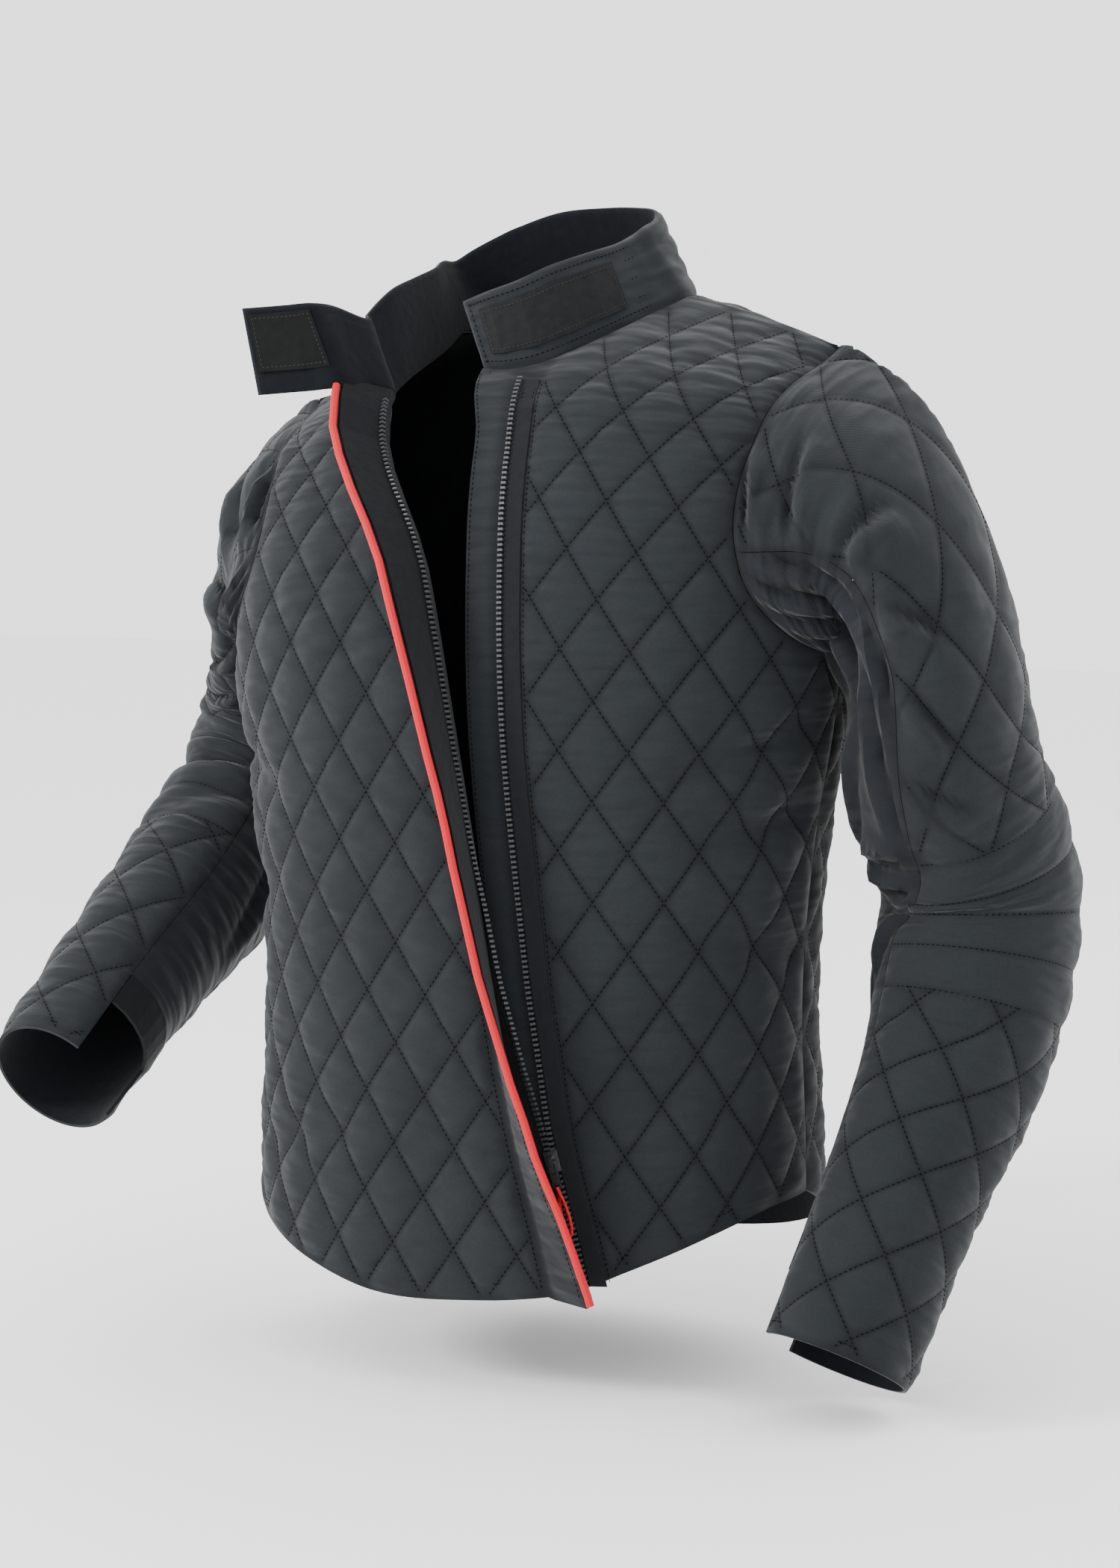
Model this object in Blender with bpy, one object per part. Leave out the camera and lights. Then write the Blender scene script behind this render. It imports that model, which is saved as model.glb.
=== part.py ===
"""Quilted fencing jacket, open at the front and standing as it is worn.

Metres, +Z up. The wearer faces -Y and their left is +X. The origin is the middle of the neck
opening, level with the inner ends of the shoulder seams. Sizes are in millimetres here and turn
into metres when a mesh is made.

Each panel is cut flat: an outline and its quilting lines, in distances along and down the cloth.
A surface function carries the flat pattern onto the worn form. Its value is the outer face at the
stitch lines; the padding rises out of it, and the plain inner face lies one wall behind it.
"""
import math
from collections import namedtuple
from functools import lru_cache

import bpy
import bmesh
from mathutils import Vector
from mathutils.geometry import delaunay_2d_cdt

MM = 0.001

# Cloth
WALL = 3.4
PUFF = 3.2
GAP = 0.3
SEAM_GAP = 0.3
SLEEVE_GAP = 0.5
SMALL_GAP = 0.4
SEAM_LEAN = 2.2
EDGE_STEP = 24.0
PLAIN_STEP = 15.0
SLEEVE_EDGE_STEP = 16.0

# Quilting diamonds, width across and height along the cloth
BODY_DIAMOND = (46.0, 66.0)
SLEEVE_DIAMOND = (58.0, 58.0)
ELBOW_FROM = 232.0
ELBOW_PITCH = 34.0
ELBOW_CHANNELS = 5

# Front opening
ZIP_SET_IN = 24.0
TOP_SET_IN = 9.0
FLAP = 40.0
FLAP_BEND = 5.0
FRONT_LIFT = 3.7
FRONT_PRESS = -4.0
LIFT_FADE = 70.0
TAPE_WIDTH = 12.0
TAPE_THICK = 0.8
CHAIN_WIDTH = 3.0
CHAIN_HEIGHT = 2.8
CHAIN_CLEAR = 1.0
FACING_THICK = 1.0
PIPING_RADIUS = 2.6
PIPING_SET = 0.4
ZIP_TOP = 80.0
ZIP_END = 682.0
SLIDER_DROP = 601.0
SLIDER_LENGTH = 14.0
PULL_THICK = 1.4
HINGE_HEIGHT = 3.0
CORD_RADIUS = 1.1

# Slider's section, across the zip and out of it, then its arch and the arch's eye, down and out
SLIDER_SECTION = [
    (-2.9, -3.4), (2.9, -3.4), (2.9, -0.2), (4.8, -0.2), (4.8, 1.0), (-4.8, 1.0), (-4.8, -0.2),
    (-2.9, -0.2),
]
ARCH = [(-4.0, 0.6), (-3.4, 4.9), (-2.6, 5.6), (2.6, 5.6), (3.4, 4.9), (4.0, 0.6)]
ARCH_EYE = [(-1.9, 1.0), (1.9, 1.0), (1.9, 4.4), (-1.9, 4.4)]
ARCH_THICK = 2.4

# Right half of the pull's outline, across and down from its hinge, and its two holes
PULL_EDGE = [
    (3.0, -0.7), (3.0, 9.0), (2.6, 12.0), (3.0, 14.5), (3.0, 16.8), (1.4, 18.3),
]
PULL_EYE = [(-1.7, 0.7), (1.7, 0.7), (1.7, 8.2), (-1.7, 8.2)]
PULL_HOLE = [(-1.6, 13.6), (1.6, 13.6), (1.6, 17.0), (-1.6, 17.0)]
PULL_HOLE_MIDDLE = 15.3

# Path of the loop of cord from the pull's hole: across, down the cloth and out of it
CORD_PATH = [
    (0.0, 0.0, 0.0), (0.0, 0.9, 2.0), (0.2, 3.0, 2.2), (1.0, 7.0, 1.4), (2.0, 13.0, 0.9),
    (2.7, 21.0, 0.7), (2.5, 28.0, 0.7), (1.5, 32.7, 0.6), (0.0, 34.0, 0.5), (-1.5, 32.7, 0.3),
    (-2.5, 28.0, 0.0), (-2.7, 21.0, -0.4), (-2.0, 13.0, -1.0), (-1.0, 7.0, -1.6),
    (-0.2, 3.0, -2.2), (0.0, 0.9, -2.0),
]

# Neck and collar
NECK_HALF = 86.0
NECK_FRONT = 70.0
NECK_BACK = 58.0
RIGHT_NECK_END = 72.0
FLAP_SLANT = 0.6
FLAP_DIP = 4.0
COLLAR_WALL = 4.6
TAB_LENGTH = 58.0
PATCH_THICK = 1.6

# The right shoulder hangs lower: how far at the neck, the share added towards the arm, the
# distance from the centre line over which each comes in, and the drop where both have gone
RIGHT_SAG = 26.0
SAG_MORE = 0.4
SAG_RUN = 110.0
SAG_MORE_FROM = 100.0
SAG_MORE_RUN = 90.0
SAG_END = 240.0

# Hem, as distance from the centre line and drop, from the opening to the side seam
HEM_FRONT = 686.0
HEM_SIDE = 634.0
SHOULDER_END = 201.0
SIDE_FADE = 35.0

# Rows of the body, from the shoulder seams down. drop runs down the cloth at the centre line,
# half is the half width, side_y the side seam's place, mid the centre line's place, side_z the
# height at the side, and square the fullness of the curve, 2 being an ellipse.
Level = namedtuple("Level", "drop half side_y mid_y mid_z side_z square")
FRONT_ROWS = [
    Level(0, 196, -4, -4, 5, -37, 2.0),
    Level(75, 200, -35, -118, -52, -76, 2.2),
    Level(140, 209, -48, -155, -106, -125, 2.25),
    Level(220, 217, -52, -177, -182, -195, 2.3),
    Level(300, 215, -52, -186, -261, -268, 2.3),
    Level(400, 200, -52, -188, -360, -362, 2.3),
    Level(500, 192, -52, -188, -460, -460, 2.3),
    Level(600, 195, -52, -192, -560, -560, 2.3),
    Level(700, 197, -52, -196, -660, -660, 2.3),
]
BACK_ROWS = [
    Level(0, 196, -4, -4, 5, -37, 2.0),
    Level(64, 202, -30, 61, -1, -70, 2.2),
    Level(144, 211, -48, 84, -94, -127, 2.3),
    Level(220, 217, -52, 90, -176, -195, 2.3),
    Level(300, 215, -52, 84, -256, -268, 2.3),
    Level(400, 200, -52, 72, -356, -362, 2.3),
    Level(500, 192, -52, 70, -456, -460, 2.3),
    Level(600, 195, -52, 80, -556, -560, 2.3),
    Level(700, 197, -52, 86, -656, -660, 2.3),
]

# The opening, down the front. zip_left and root_right are distances along the cloth from the
# centre line: the left row of teeth, and the fold where the right flap turns out. flap_turn and
# tape_turn are how far the flap and the right half of the zip stand out, in degrees, and
# tape_reach is the width of the zip's right half from that fold to its teeth.
Opening = namedtuple("Opening", "drop zip_left root_right flap_turn tape_turn tape_reach")
OPENING = [
    Opening(72, 16.5, -84, 110, 98, 21),
    Opening(100, 19.5, -78, 114, 100, 22),
    Opening(130, 22.3, -71, 116, 98, 22),
    Opening(160, 24.2, -58, 116, 90, 23),
    Opening(185, 25.8, -44, 115, 88, 23),
    Opening(215, 28.1, -30, 111, 88, 23),
    Opening(250, 30.3, -19.5, 105, 87, 24),
    Opening(290, 32.6, -10.5, 97, 85, 24),
    Opening(330, 35.4, -2.4, 90, 82, 24),
    Opening(380, 40.2, 6.6, 83, 76, 24),
    Opening(435, 46.3, 16, 79, 62, 24),
    Opening(490, 52.6, 24.5, 72, 47, 24),
    Opening(540, 61, 34, 63, 26, 24),
    Opening(570, 66, 41, 58, 12, 24),
    Opening(600, 72.7, 48.5, 54, 0, 24),
    Opening(650, 87, 62.8, 45, 0, 24),
    Opening(700, 99.5, 75.5, 40, 0, 24),
]

# The armholes, as distance from the centre line and drop, from the shoulder to the side seam
Edge = namedtuple("Edge", "along drop")
LEFT_HEM = [
    Edge(60, 690), Edge(100, 684), Edge(126, 674), Edge(160, 661), Edge(200, 647),
    Edge(240, 637), Edge(290, 634),
]
RIGHT_HEM = [
    Edge(-98, 686), Edge(-29, 695), Edge(53, 698), Edge(126, 684), Edge(180, 669),
    Edge(240, 652), Edge(290, 634),
]
BACK_HEM = [
    Edge(0, 700), Edge(70, 697), Edge(140, 684), Edge(200, 662), Edge(240, 642), Edge(262, 634),
]
FRONT_ARMHOLE = [
    Edge(201, 0), Edge(196, 30), Edge(191, 65), Edge(186, 105), Edge(180, 145), Edge(181, 185),
    Edge(194, 222), Edge(224, 250), Edge(262, 264),
]
BACK_ARMHOLE = [
    Edge(201, 0), Edge(197, 30), Edge(193, 65), Edge(190, 105), Edge(189, 145), Edge(192, 185),
    Edge(200, 222), Edge(218, 250), Edge(234, 264),
]
ARMHOLE_STEPS = 12
UNDERARM = 268.0

# Sleeves along their middle line, for the left arm. out and front are the half widths, and
# front_seam and back_seam the places of the seams round the sleeve, in degrees from its outer side.
Ring = namedtuple("Ring", "along x y z out front front_seam back_seam")
LEFT_RINGS = [
    Ring(0, 188, -46, -136, 96, 86, 105, -120),
    Ring(58, 243, -46, -168, 72, 84, 105, -120),
    Ring(130, 279, -50, -240, 57, 84, 106, -122),
    Ring(196, 287, -48, -305, 62, 76, 112, -126),
    Ring(287, 301, -20, -392, 66, 71, 128, -132),
    Ring(389, 299, -45, -487, 60, 62, 142, -140),
    Ring(507, 276, -92, -585, 51, 53, 148, -146),
    Ring(622, 252, -142, -684, 49, 51, 148, -148),
]
RIGHT_RINGS = [
    Ring(0, -188, -46, -150, 96, 86, 105, -120),
    Ring(58, -230, 30, -196, 44, 82, 105, -120),
    Ring(130, -245, 66, -244, 50, 82, 106, -122),
    Ring(200, -263, 84, -300, 62, 77, 110, -126),
    Ring(275, -280, 62, -362, 64, 72, 118, -132),
    Ring(365, -290, -6, -416, 58, 62, 126, -140),
    Ring(470, -297, -98, -472, 50, 53, 128, -146),
    Ring(580, -303, -192, -534, 45, 47, 128, -148),
]
CAP_BLEND = 120.0
LEFT_CAP = Vector((0.65, 0.0, -0.1))
RIGHT_CAP = Vector((-0.6, 0.12, -0.2))
INNER_SHORT = 45.0
CUFF_BAND = 26.0
CUFF_WALL = 2.6

# Sleeve folds are placed round the sleeve by degrees, each worth this many millimetres
FOLD_REACH = 1.25

# Fabric folds, at a place on a surface. turn is the fold's direction in degrees from the first
# axis, long and wide its half length and half width, deep its height, negative for a hollow.
Fold = namedtuple("Fold", "first second turn long wide deep")
BODY_FOLDS = [
    Fold(205, 330, -20, 60, 12, -7),
    Fold(232, 380, -12, 62, 13, -8),
    Fold(236, 470, 12, 70, 14, -7),
    Fold(-215, 350, 18, 60, 13, -7),
    Fold(-238, 450, -10, 66, 14, -7),
    Fold(150, 560, 15, 60, 14, -4),
    Fold(-120, 600, -15, 62, 14, -4),
]
BACK_FOLDS = [
    Fold(120, 330, 25, 80, 15, -6),
    Fold(-130, 350, -25, 80, 15, -6),
    Fold(60, 430, 8, 90, 15, -6),
    Fold(-40, 490, -6, 90, 15, -6),
]
LEFT_SLEEVE_FOLDS = [
    Fold(118, 40, 78, 52, 13, -13),
    Fold(150, 60, 66, 62, 13, -12),
    Fold(96, 70, 60, 48, 12, 8),
    Fold(176, 95, 84, 70, 14, -9),
    Fold(165, 250, 30, 52, 13, -8),
    Fold(178, 300, -18, 52, 13, -8),
]
RIGHT_SLEEVE_FOLDS = [
    Fold(118, 45, 78, 52, 13, -12),
    Fold(150, 65, 66, 62, 13, -11),
    Fold(108, 258, 12, 60, 16, -7),
    Fold(120, 295, -6, 64, 15, -10),
    Fold(128, 335, -22, 60, 15, -8),
    Fold(20, 285, 8, 50, 13, -7),
]

# How the collar's top edge stands over its base, at distances along the neckline from the left
# free edge: to the wearer's left, back and up
Stance = namedtuple("Stance", "along side back up")
COLLAR_STANCE = [
    Stance(0, -23, 14, 44),
    Stance(21, -20, 7, 51),
    Stance(66, -18, -2, 55),
    Stance(127, -22, 2, 49),
    Stance(168, -29, -6, 47),
    Stance(211, -22, -13, 58),
    Stance(258, -27, -16, 58),
    Stance(312, -27, -16, 52),
    Stance(361, -18, -12, 52),
    Stance(404, -17, -4, 46),
    Stance(436, -10, 3, 53),
    Stance(495, -9, -3, 58),
    Stance(521, -14, -4, 56),
    Stance(545, -18, -6, 46),
    Stance(562, -20, -10, 52),
    Stance(590, -17, -8, 54),
    Stance(625, -11, -5, 55),
]
TAB_WAY = Vector((-0.91, -0.25, -0.08))
TAB_STEPS = 3
COLLAR_ROWS = 8
COLLAR_PUFF = 1.6
PADDED_FROM = 130.0
PADDED_TO = 470.0


def spline(keys, values, at):
    """Smooth curve through the values, straight beyond its ends."""
    last = len(keys) - 1

    def slope(i):
        lo, hi = max(i - 1, 0), min(i + 1, last)
        return (values[hi] - values[lo]) / (keys[hi] - keys[lo])

    if at <= keys[0]:
        return values[0] + slope(0) * (at - keys[0])
    if at >= keys[last]:
        return values[last] + slope(last) * (at - keys[last])
    i = max(j for j in range(last) if keys[j] <= at)
    span = keys[i + 1] - keys[i]
    u = (at - keys[i]) / span
    return ((2 * u ** 3 - 3 * u ** 2 + 1) * values[i] + (u ** 3 - 2 * u ** 2 + u) * span * slope(i)
            + (3 * u ** 2 - 2 * u ** 3) * values[i + 1] + (u ** 3 - u ** 2) * span * slope(i + 1))


def read(rows, column, at):
    return spline([row[0] for row in rows], [getattr(row, column) for row in rows], at)


def ease(u):
    u = min(max(u, 0.0), 1.0)
    return u * u * (3 - 2 * u)


def fold_depth(folds, first, second):
    """Sum of the folds' heights at a place on the flat pattern."""
    total = 0.0
    for fold in folds:
        turn = math.radians(fold.turn)
        dx, dy = first - fold.first, second - fold.second
        along = dx * math.cos(turn) + dy * math.sin(turn)
        across = dy * math.cos(turn) - dx * math.sin(turn)
        if abs(along) < 2 * fold.long and abs(across) < 3 * fold.wide:
            total += fold.deep * math.exp(-(across / fold.wide) ** 2 - (along / fold.long) ** 4)
    return total


@lru_cache(maxsize=None)
def body_row(face, drop):
    """Points of one row from the centre line to the side seam, with their distances along it."""
    rows = FRONT_ROWS if face == "front" else BACK_ROWS
    half, side_y, mid_y, mid_z, side_z, square = (
        read(rows, name, drop) for name in Level._fields[1:])
    points = []
    for step in range(33):
        turn = math.pi / 2 * step / 32
        out = math.sin(turn) ** (2 / square)
        deep = math.cos(turn) ** (2 / square) if step < 32 else 0.0
        points.append(Vector((half * out, side_y + (mid_y - side_y) * deep,
                              mid_z + (side_z - mid_z) * out * out)))
    lengths = [0.0]
    for one, two in zip(points, points[1:]):
        lengths.append(lengths[-1] + (two - one).length)
    return points, lengths


def bare_body(face, along, drop):
    """Point of the body's form, without folds or the lift at the opening."""
    points, lengths = body_row(face, round(drop, 3))
    reach = abs(along)
    if reach >= lengths[-1]:
        step = (points[-1] - points[-2]).normalized()
        point = points[-1] + step * (reach - lengths[-1])
    else:
        i = max(j for j in range(32) if lengths[j] <= reach)
        share = (reach - lengths[i]) / (lengths[i + 1] - lengths[i])
        point = points[i].lerp(points[i + 1], share)
    if along < 0:
        more = SAG_MORE * ease((reach - SAG_MORE_FROM) / SAG_MORE_RUN)
        sag = RIGHT_SAG * (ease(reach / SAG_RUN) + more) * (1 - ease(drop / SAG_END))
        return Vector((-point.x, point.y, point.z - sag))
    return point


def side_length(face, drop):
    return body_row(face, round(drop, 3))[1][-1]


def normal_of(surface, first, second, step=1.0):
    """Outward normal of a surface function whose axes run with the cloth."""
    across = surface(first + step, second) - surface(first - step, second)
    down = surface(first, second + step) - surface(first, second - step)
    return down.cross(across).normalized()


def body_normal(face, along, drop):
    normal = normal_of(lambda a, d: bare_body(face, a, d), along, max(drop, 3.0), 2.0)
    return normal if face == "front" else -normal


def raised_body(face, along, drop, lift):
    return bare_body(face, along, drop) + body_normal(face, along, drop) * lift


def side_fade(face, along, drop):
    """Folds die out towards the side seam."""
    return ease((side_length(face, drop) - abs(along)) / SIDE_FADE)


def front_left_surface(along, drop):
    near = ease((along - read(OPENING, "zip_left", drop)) / LIFT_FADE)
    swell = fold_depth(BODY_FOLDS, along, drop) * near * side_fade("front", along, drop)
    return raised_body("front", along, drop, FRONT_PRESS * (1 - near) + swell)


def back_surface(along, drop):
    swell = fold_depth(BACK_FOLDS, along, drop) * side_fade("back", along, drop)
    return raised_body("back", along, drop, swell)


def flap_root(drop):
    """Distance from the centre line of the fold where the right flap turns out."""
    return read(OPENING, "root_right", max(drop, RIGHT_NECK_END))


def right_sheet(turn_name, lift, measure=0.0):
    """Surface of cloth that lies on the right front and turns out past the flap's root.

    lift is its height over the outer face, and distances past the root are taken at the height
    given as measure, so that sheets of one measure stay parallel.
    """
    def surface(past, drop):
        root = flap_root(drop)
        if past <= 0:
            near = ease(-past / LIFT_FADE)
            raised = FRONT_LIFT * (1 - near) * ease(drop / (RIGHT_NECK_END - 4))
            along = root + past
            swell = fold_depth(BODY_FOLDS, along, drop) * near * side_fade("front", along, drop)
            return raised_body("front", along, drop, raised + swell + lift)
        normal = body_normal("front", root, drop)
        along = bare_body("front", root + 1, drop) - bare_body("front", root - 1, drop)
        along.normalize()
        turn = math.radians(max(read(OPENING, turn_name, drop), 0.5))
        curved = min(past, (FLAP_BEND - measure) * turn)
        angle = curved / (FLAP_BEND - measure)
        radius = FLAP_BEND - lift
        point = bare_body("front", root, drop) + normal * (FRONT_LIFT + lift)
        point += along * (radius * math.sin(angle)) + normal * (radius * (1 - math.cos(angle)))
        return point + (along * math.cos(angle) + normal * math.sin(angle)) * (past - curved)
    return surface


front_right_surface = right_sheet("flap_turn", 0.0)
front_right_behind = right_sheet("flap_turn", -1.0)


def front_right_normal(past, drop):
    return (front_right_surface(past, drop) - front_right_behind(past, drop)).normalized()


def neck_drop(along):
    """Drop of the front neckline at a distance from the centre line."""
    return NECK_FRONT * (1 - (along / NECK_HALF) ** 2)


def spread(points, step):
    """Points at even steps along a bent line of flat points, with both ends kept."""
    points = [Vector(p) for p in points]
    lengths = [0.0]
    for one, two in zip(points, points[1:]):
        lengths.append(lengths[-1] + (two - one).length)
    count = max(1, round(lengths[-1] / step))
    result = []
    for k in range(count + 1):
        at = lengths[-1] * k / count
        i = max(j for j in range(len(points) - 1) if lengths[j] <= at + 1e-9)
        share = (at - lengths[i]) / max(lengths[i + 1] - lengths[i], 1e-9)
        result.append(points[i].lerp(points[i + 1], share))
    return result


def armhole_edge(face, k):
    """Flat point of the armhole, k from 0 at the shoulder to 1 at the side seam."""
    table = FRONT_ARMHOLE if face == "front" else BACK_ARMHOLE
    keys = [i / len(table) for i in range(len(table))] + [1.0]
    alongs = [row.along for row in table] + [side_length(face, UNDERARM)]
    drops = [row.drop for row in table] + [UNDERARM]
    return Vector((spline(keys, alongs, k), spline(keys, drops, k)))


def armhole_point(face, side, k):
    flat = armhole_edge(face, k)
    return bare_body(face, side * flat.x, flat.y)


def sleeve_rings(side):
    return LEFT_RINGS if side > 0 else RIGHT_RINGS


@lru_cache(maxsize=None)
def ring_frame(side, along):
    """Middle, outer and forward directions and half widths of a sleeve's ring."""
    rows = sleeve_rings(side)

    def middle(at):
        return Vector([read(rows, axis, at) for axis in "xyz"])

    tangent = (middle(along + 6) - middle(along - 6)).normalized()
    if along < CAP_BLEND:
        start = Vector((side * 0.8, 0.0, -0.6))
        tangent = start.lerp(tangent, ease(along / CAP_BLEND)).normalized()
    outward = Vector((side * 1.0, 0.25, 0.35))
    outward = (outward - tangent * outward.dot(tangent)).normalized()
    forward = tangent.cross(outward) * side
    return middle(along), outward, forward, read(rows, "out", along), read(rows, "front", along)


@lru_cache(maxsize=None)
def armhole_round(side, turn):
    """Point of the armhole at a turn round the sleeve, in degrees from the shoulder."""
    turn = (turn + 180) % 360 - 180
    face = "front" if turn >= 0 else "back"
    return armhole_point(face, side, abs(turn) / 180)


def sleeve_at(side, turn, along):
    """Point of a sleeve at a turn round it and a distance along its middle line."""
    middle, outward, forward, out, front = ring_frame(side, round(along, 3))
    angle = math.radians(turn)
    folds = LEFT_SLEEVE_FOLDS if side > 0 else RIGHT_SLEEVE_FOLDS
    swell = fold_depth(folds, turn % 360 * FOLD_REACH, along) * ease(along / 40)
    ring = (middle + outward * (math.cos(angle) * (out + swell))
            + forward * (math.sin(angle) * (front + swell)))
    if along >= CAP_BLEND:
        return ring
    seam = armhole_round(side, round(turn, 3))
    away = (LEFT_CAP if side > 0 else RIGHT_CAP) * along
    return (seam + away).lerp(ring, ease(along / CAP_BLEND))


def sleeve_round(along, side):
    rows = sleeve_rings(side)
    return math.pi * (read(rows, "out", along) + read(rows, "front", along))


def sleeve_surface(side):
    """Surface whose first axis is the distance round the sleeve, forward of its outer side."""
    def surface(first, along):
        return sleeve_at(side, first / sleeve_round(along, side) * 360, along)
    return surface


def side_sleeve_normal(side, first, along):
    normal = normal_of(sleeve_surface(side), first, max(along, 4.0), 3.0)
    return -normal * side


def add_object(name, mesh, material):
    thing = bpy.data.objects.new(name, mesh)
    mesh.materials.append(material)
    JACKET.objects.link(thing)
    return thing


def mesh_object(name, points, faces, material, smooth=True):
    """Mesh from points in millimetres."""
    mesh = bpy.data.meshes.new(name)
    mesh.from_pydata([tuple(p * MM for p in point) for point in points], [], faces)
    shape = bmesh.new()
    shape.from_mesh(mesh)
    bmesh.ops.recalc_face_normals(shape, faces=shape.faces)
    if shape.calc_volume(signed=True) < 0:
        bmesh.ops.reverse_faces(shape, faces=shape.faces)
    shape.to_mesh(mesh)
    shape.free()
    if smooth:
        mesh.shade_smooth()
        mesh.set_sharp_from_angle(angle=math.radians(35))
    return add_object(name, mesh, material)


def cloth_material(name, colour, roughness, metallic=0.0):
    material = bpy.data.materials.new(name)
    material.use_nodes = True
    shader = material.node_tree.nodes["Principled BSDF"]
    shader.inputs["Base Color"].default_value = (*colour, 1)
    shader.inputs["Roughness"].default_value = roughness
    shader.inputs["Metallic"].default_value = metallic
    return material


def inside(outline, point):
    """True where a flat point is within a closed outline."""
    hit = False
    for one, two in zip(outline, outline[1:] + outline[:1]):
        if (one.y > point.y) != (two.y > point.y):
            cross = one.x + (point.y - one.y) / (two.y - one.y) * (two.x - one.x)
            if point.x < cross:
                hit = not hit
    return hit


def edge_distance(outline, point):
    best = 1e9
    for one, two in zip(outline, outline[1:] + outline[:1]):
        side = two - one
        share = min(max((point - one).dot(side) / max(side.dot(side), 1e-9), 0), 1)
        best = min(best, (one + side * share - point).length)
    return best


def clipped(outline, one, two, margin, step=3.0):
    """Stretches of a flat line that lie inside an outline by more than a margin."""
    count = max(2, int((two - one).length / step))
    stretches = []
    start = None
    for k in range(count + 1):
        point = one.lerp(two, k / count)
        good = inside(outline, point) and edge_distance(outline, point) > margin
        if good and start is None:
            start = point
        if start is not None and (not good or k == count):
            end = one.lerp(two, (k if good else k - 1) / count)
            if (end - start).length > margin:
                stretches.append((start, end))
            start = None
    return stretches


def diamond_lines(outline, size, origin):
    """Both families of slanting quilting lines over an outline's box, and the diamonds' middles."""
    width, height = size
    lows = Vector((min(p.x for p in outline), min(p.y for p in outline)))
    highs = Vector((max(p.x for p in outline), max(p.y for p in outline)))
    tall = highs.y - lows.y
    run = tall * width / height
    lines = []
    first = math.floor((lows.x - run - origin.x) / width) - 1
    last = math.ceil((highs.x + run - origin.x) / width) + 1
    for k in range(first, last):
        x = origin.x + k * width
        for slant in (-1, 1):
            lean = slant * width / height
            lines.append((Vector((x + lean * (lows.y - origin.y), lows.y)),
                          Vector((x + lean * (highs.y - origin.y), highs.y))))
    middles = []
    upper = math.floor((lows.y - origin.y) / height * 2) - 1
    lower = math.ceil((highs.y - origin.y) / height * 2) + 1
    for i in range(first, last):
        for j in range(upper, lower):
            shift = 0.5 if j % 2 == 0 else 0.0
            middles.append(Vector((origin.x + (i + shift) * width,
                                   origin.y + j * height / 2)))
    return lines, middles


def panel(name, outline, surface, normal, material, lines=(), tops=(), wall=WALL, rim=None,
          margin=6.0, height=PUFF, straight=()):
    """A sheet of cloth as a closed wall.

    outline holds flat points, lines the flat quilting lines and tops the raised flat points.
    rim gives the direction and length from the outer to the inner face at an outline point, or
    None where the wall's own normal serves.
    """
    flats = list(outline)
    count = len(flats)
    edges = [(i, (i + 1) % count) for i in range(count)]
    for one, two in lines:
        whole = (one, two) in straight
        for start, end in [(one, two)] if whole else clipped(outline, one, two, margin):
            flats += [start, end]
            edges.append((len(flats) - 2, len(flats) - 1))
    raised = [p for p in tops if inside(outline, p) and edge_distance(outline, p) > margin + 3]
    first_top = len(flats)
    flats += raised
    cut = delaunay_2d_cdt(flats, edges, [], 1, 0.01, True)
    points, sources = cut[0], cut[3]
    faces = [f for f in cut[2] if inside(outline, sum((points[i] for i in f), Vector((0, 0))) / 3)]
    outer, inner = [], []
    for point, origin in zip(points, sources):
        place = surface(point.x, point.y)
        out = normal(point.x, point.y)
        back = out * wall
        if any(k < count for k in origin):
            if rim is not None:
                back = rim(next(k for k in origin if k < count), point) or back
        lift = height if any(k >= first_top for k in origin) else 0.0
        if lift:
            lift *= min(1.0, (edge_distance(outline, point) / 22.0))
        outer.append(place + out * lift)
        inner.append(place - back)
    shift = len(outer)
    solid = [tuple(face) for face in faces] + [tuple(i + shift for i in reversed(face))
                                               for face in faces]
    seen = {}
    for face in faces:
        for a, b in zip(face, face[1:] + face[:1]):
            seen[(a, b)] = True
    for a, b in seen:
        if (b, a) not in seen:
            solid.append((b, a, a + shift))
            solid.append((b, a + shift, b + shift))
    return mesh_object(name, outer + inner, solid, material)


def plain_points(outline, step):
    lows = Vector((min(p.x for p in outline), min(p.y for p in outline)))
    highs = Vector((max(p.x for p in outline), max(p.y for p in outline)))
    points = []
    rows = int((highs.y - lows.y) / step) + 1
    columns = int((highs.x - lows.x) / step) + 2
    for j in range(rows):
        for i in range(columns):
            points.append(Vector((lows.x + (i + 0.5 * (j % 2)) * step, lows.y + (j + 0.5) * step)))
    return points


def hem_drop(table, along, reach):
    """Drop of the curved hem, whose table is stretched to end at the side seam."""
    scale = table[-1].along / reach
    return read(table, "drop", min(along * scale, table[-1].along))


def mitre(one, two, wall):
    """From the outer to the inner corner where two walls meet."""
    middle = (one + two).normalized()
    return middle * (wall / max(middle.dot(one), 0.7))


# Shared seam sampling, with the last point of each part of the neckline
LEFT_NECK_LAST = 7
BACK_NECK_LAST = LEFT_NECK_LAST + 10
RIGHT_NECK_LAST = BACK_NECK_LAST + 4
OPEN_END = SLIDER_DROP - SLIDER_LENGTH / 2 - CHAIN_CLEAR
CLOSED_START = SLIDER_DROP + SLIDER_LENGTH / 2 + CHAIN_CLEAR
OPEN_DROPS = [ZIP_TOP + (OPEN_END - ZIP_TOP) * k / 22 for k in range(23)]
CLOSED_DROPS = [CLOSED_START + (ZIP_END - CLOSED_START) * k / 3 for k in range(4)]
TAPE_DROPS = OPEN_DROPS + CLOSED_DROPS
BEND_RUN = FLAP_BEND * math.pi / 2
RIGHT_DROPS = [ZIP_TOP + 12] + TAPE_DROPS[1:]
FLAP_PASTS = (0.0, BEND_RUN / 2, BEND_RUN, (FLAP + BEND_RUN) / 2, FLAP)
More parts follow.
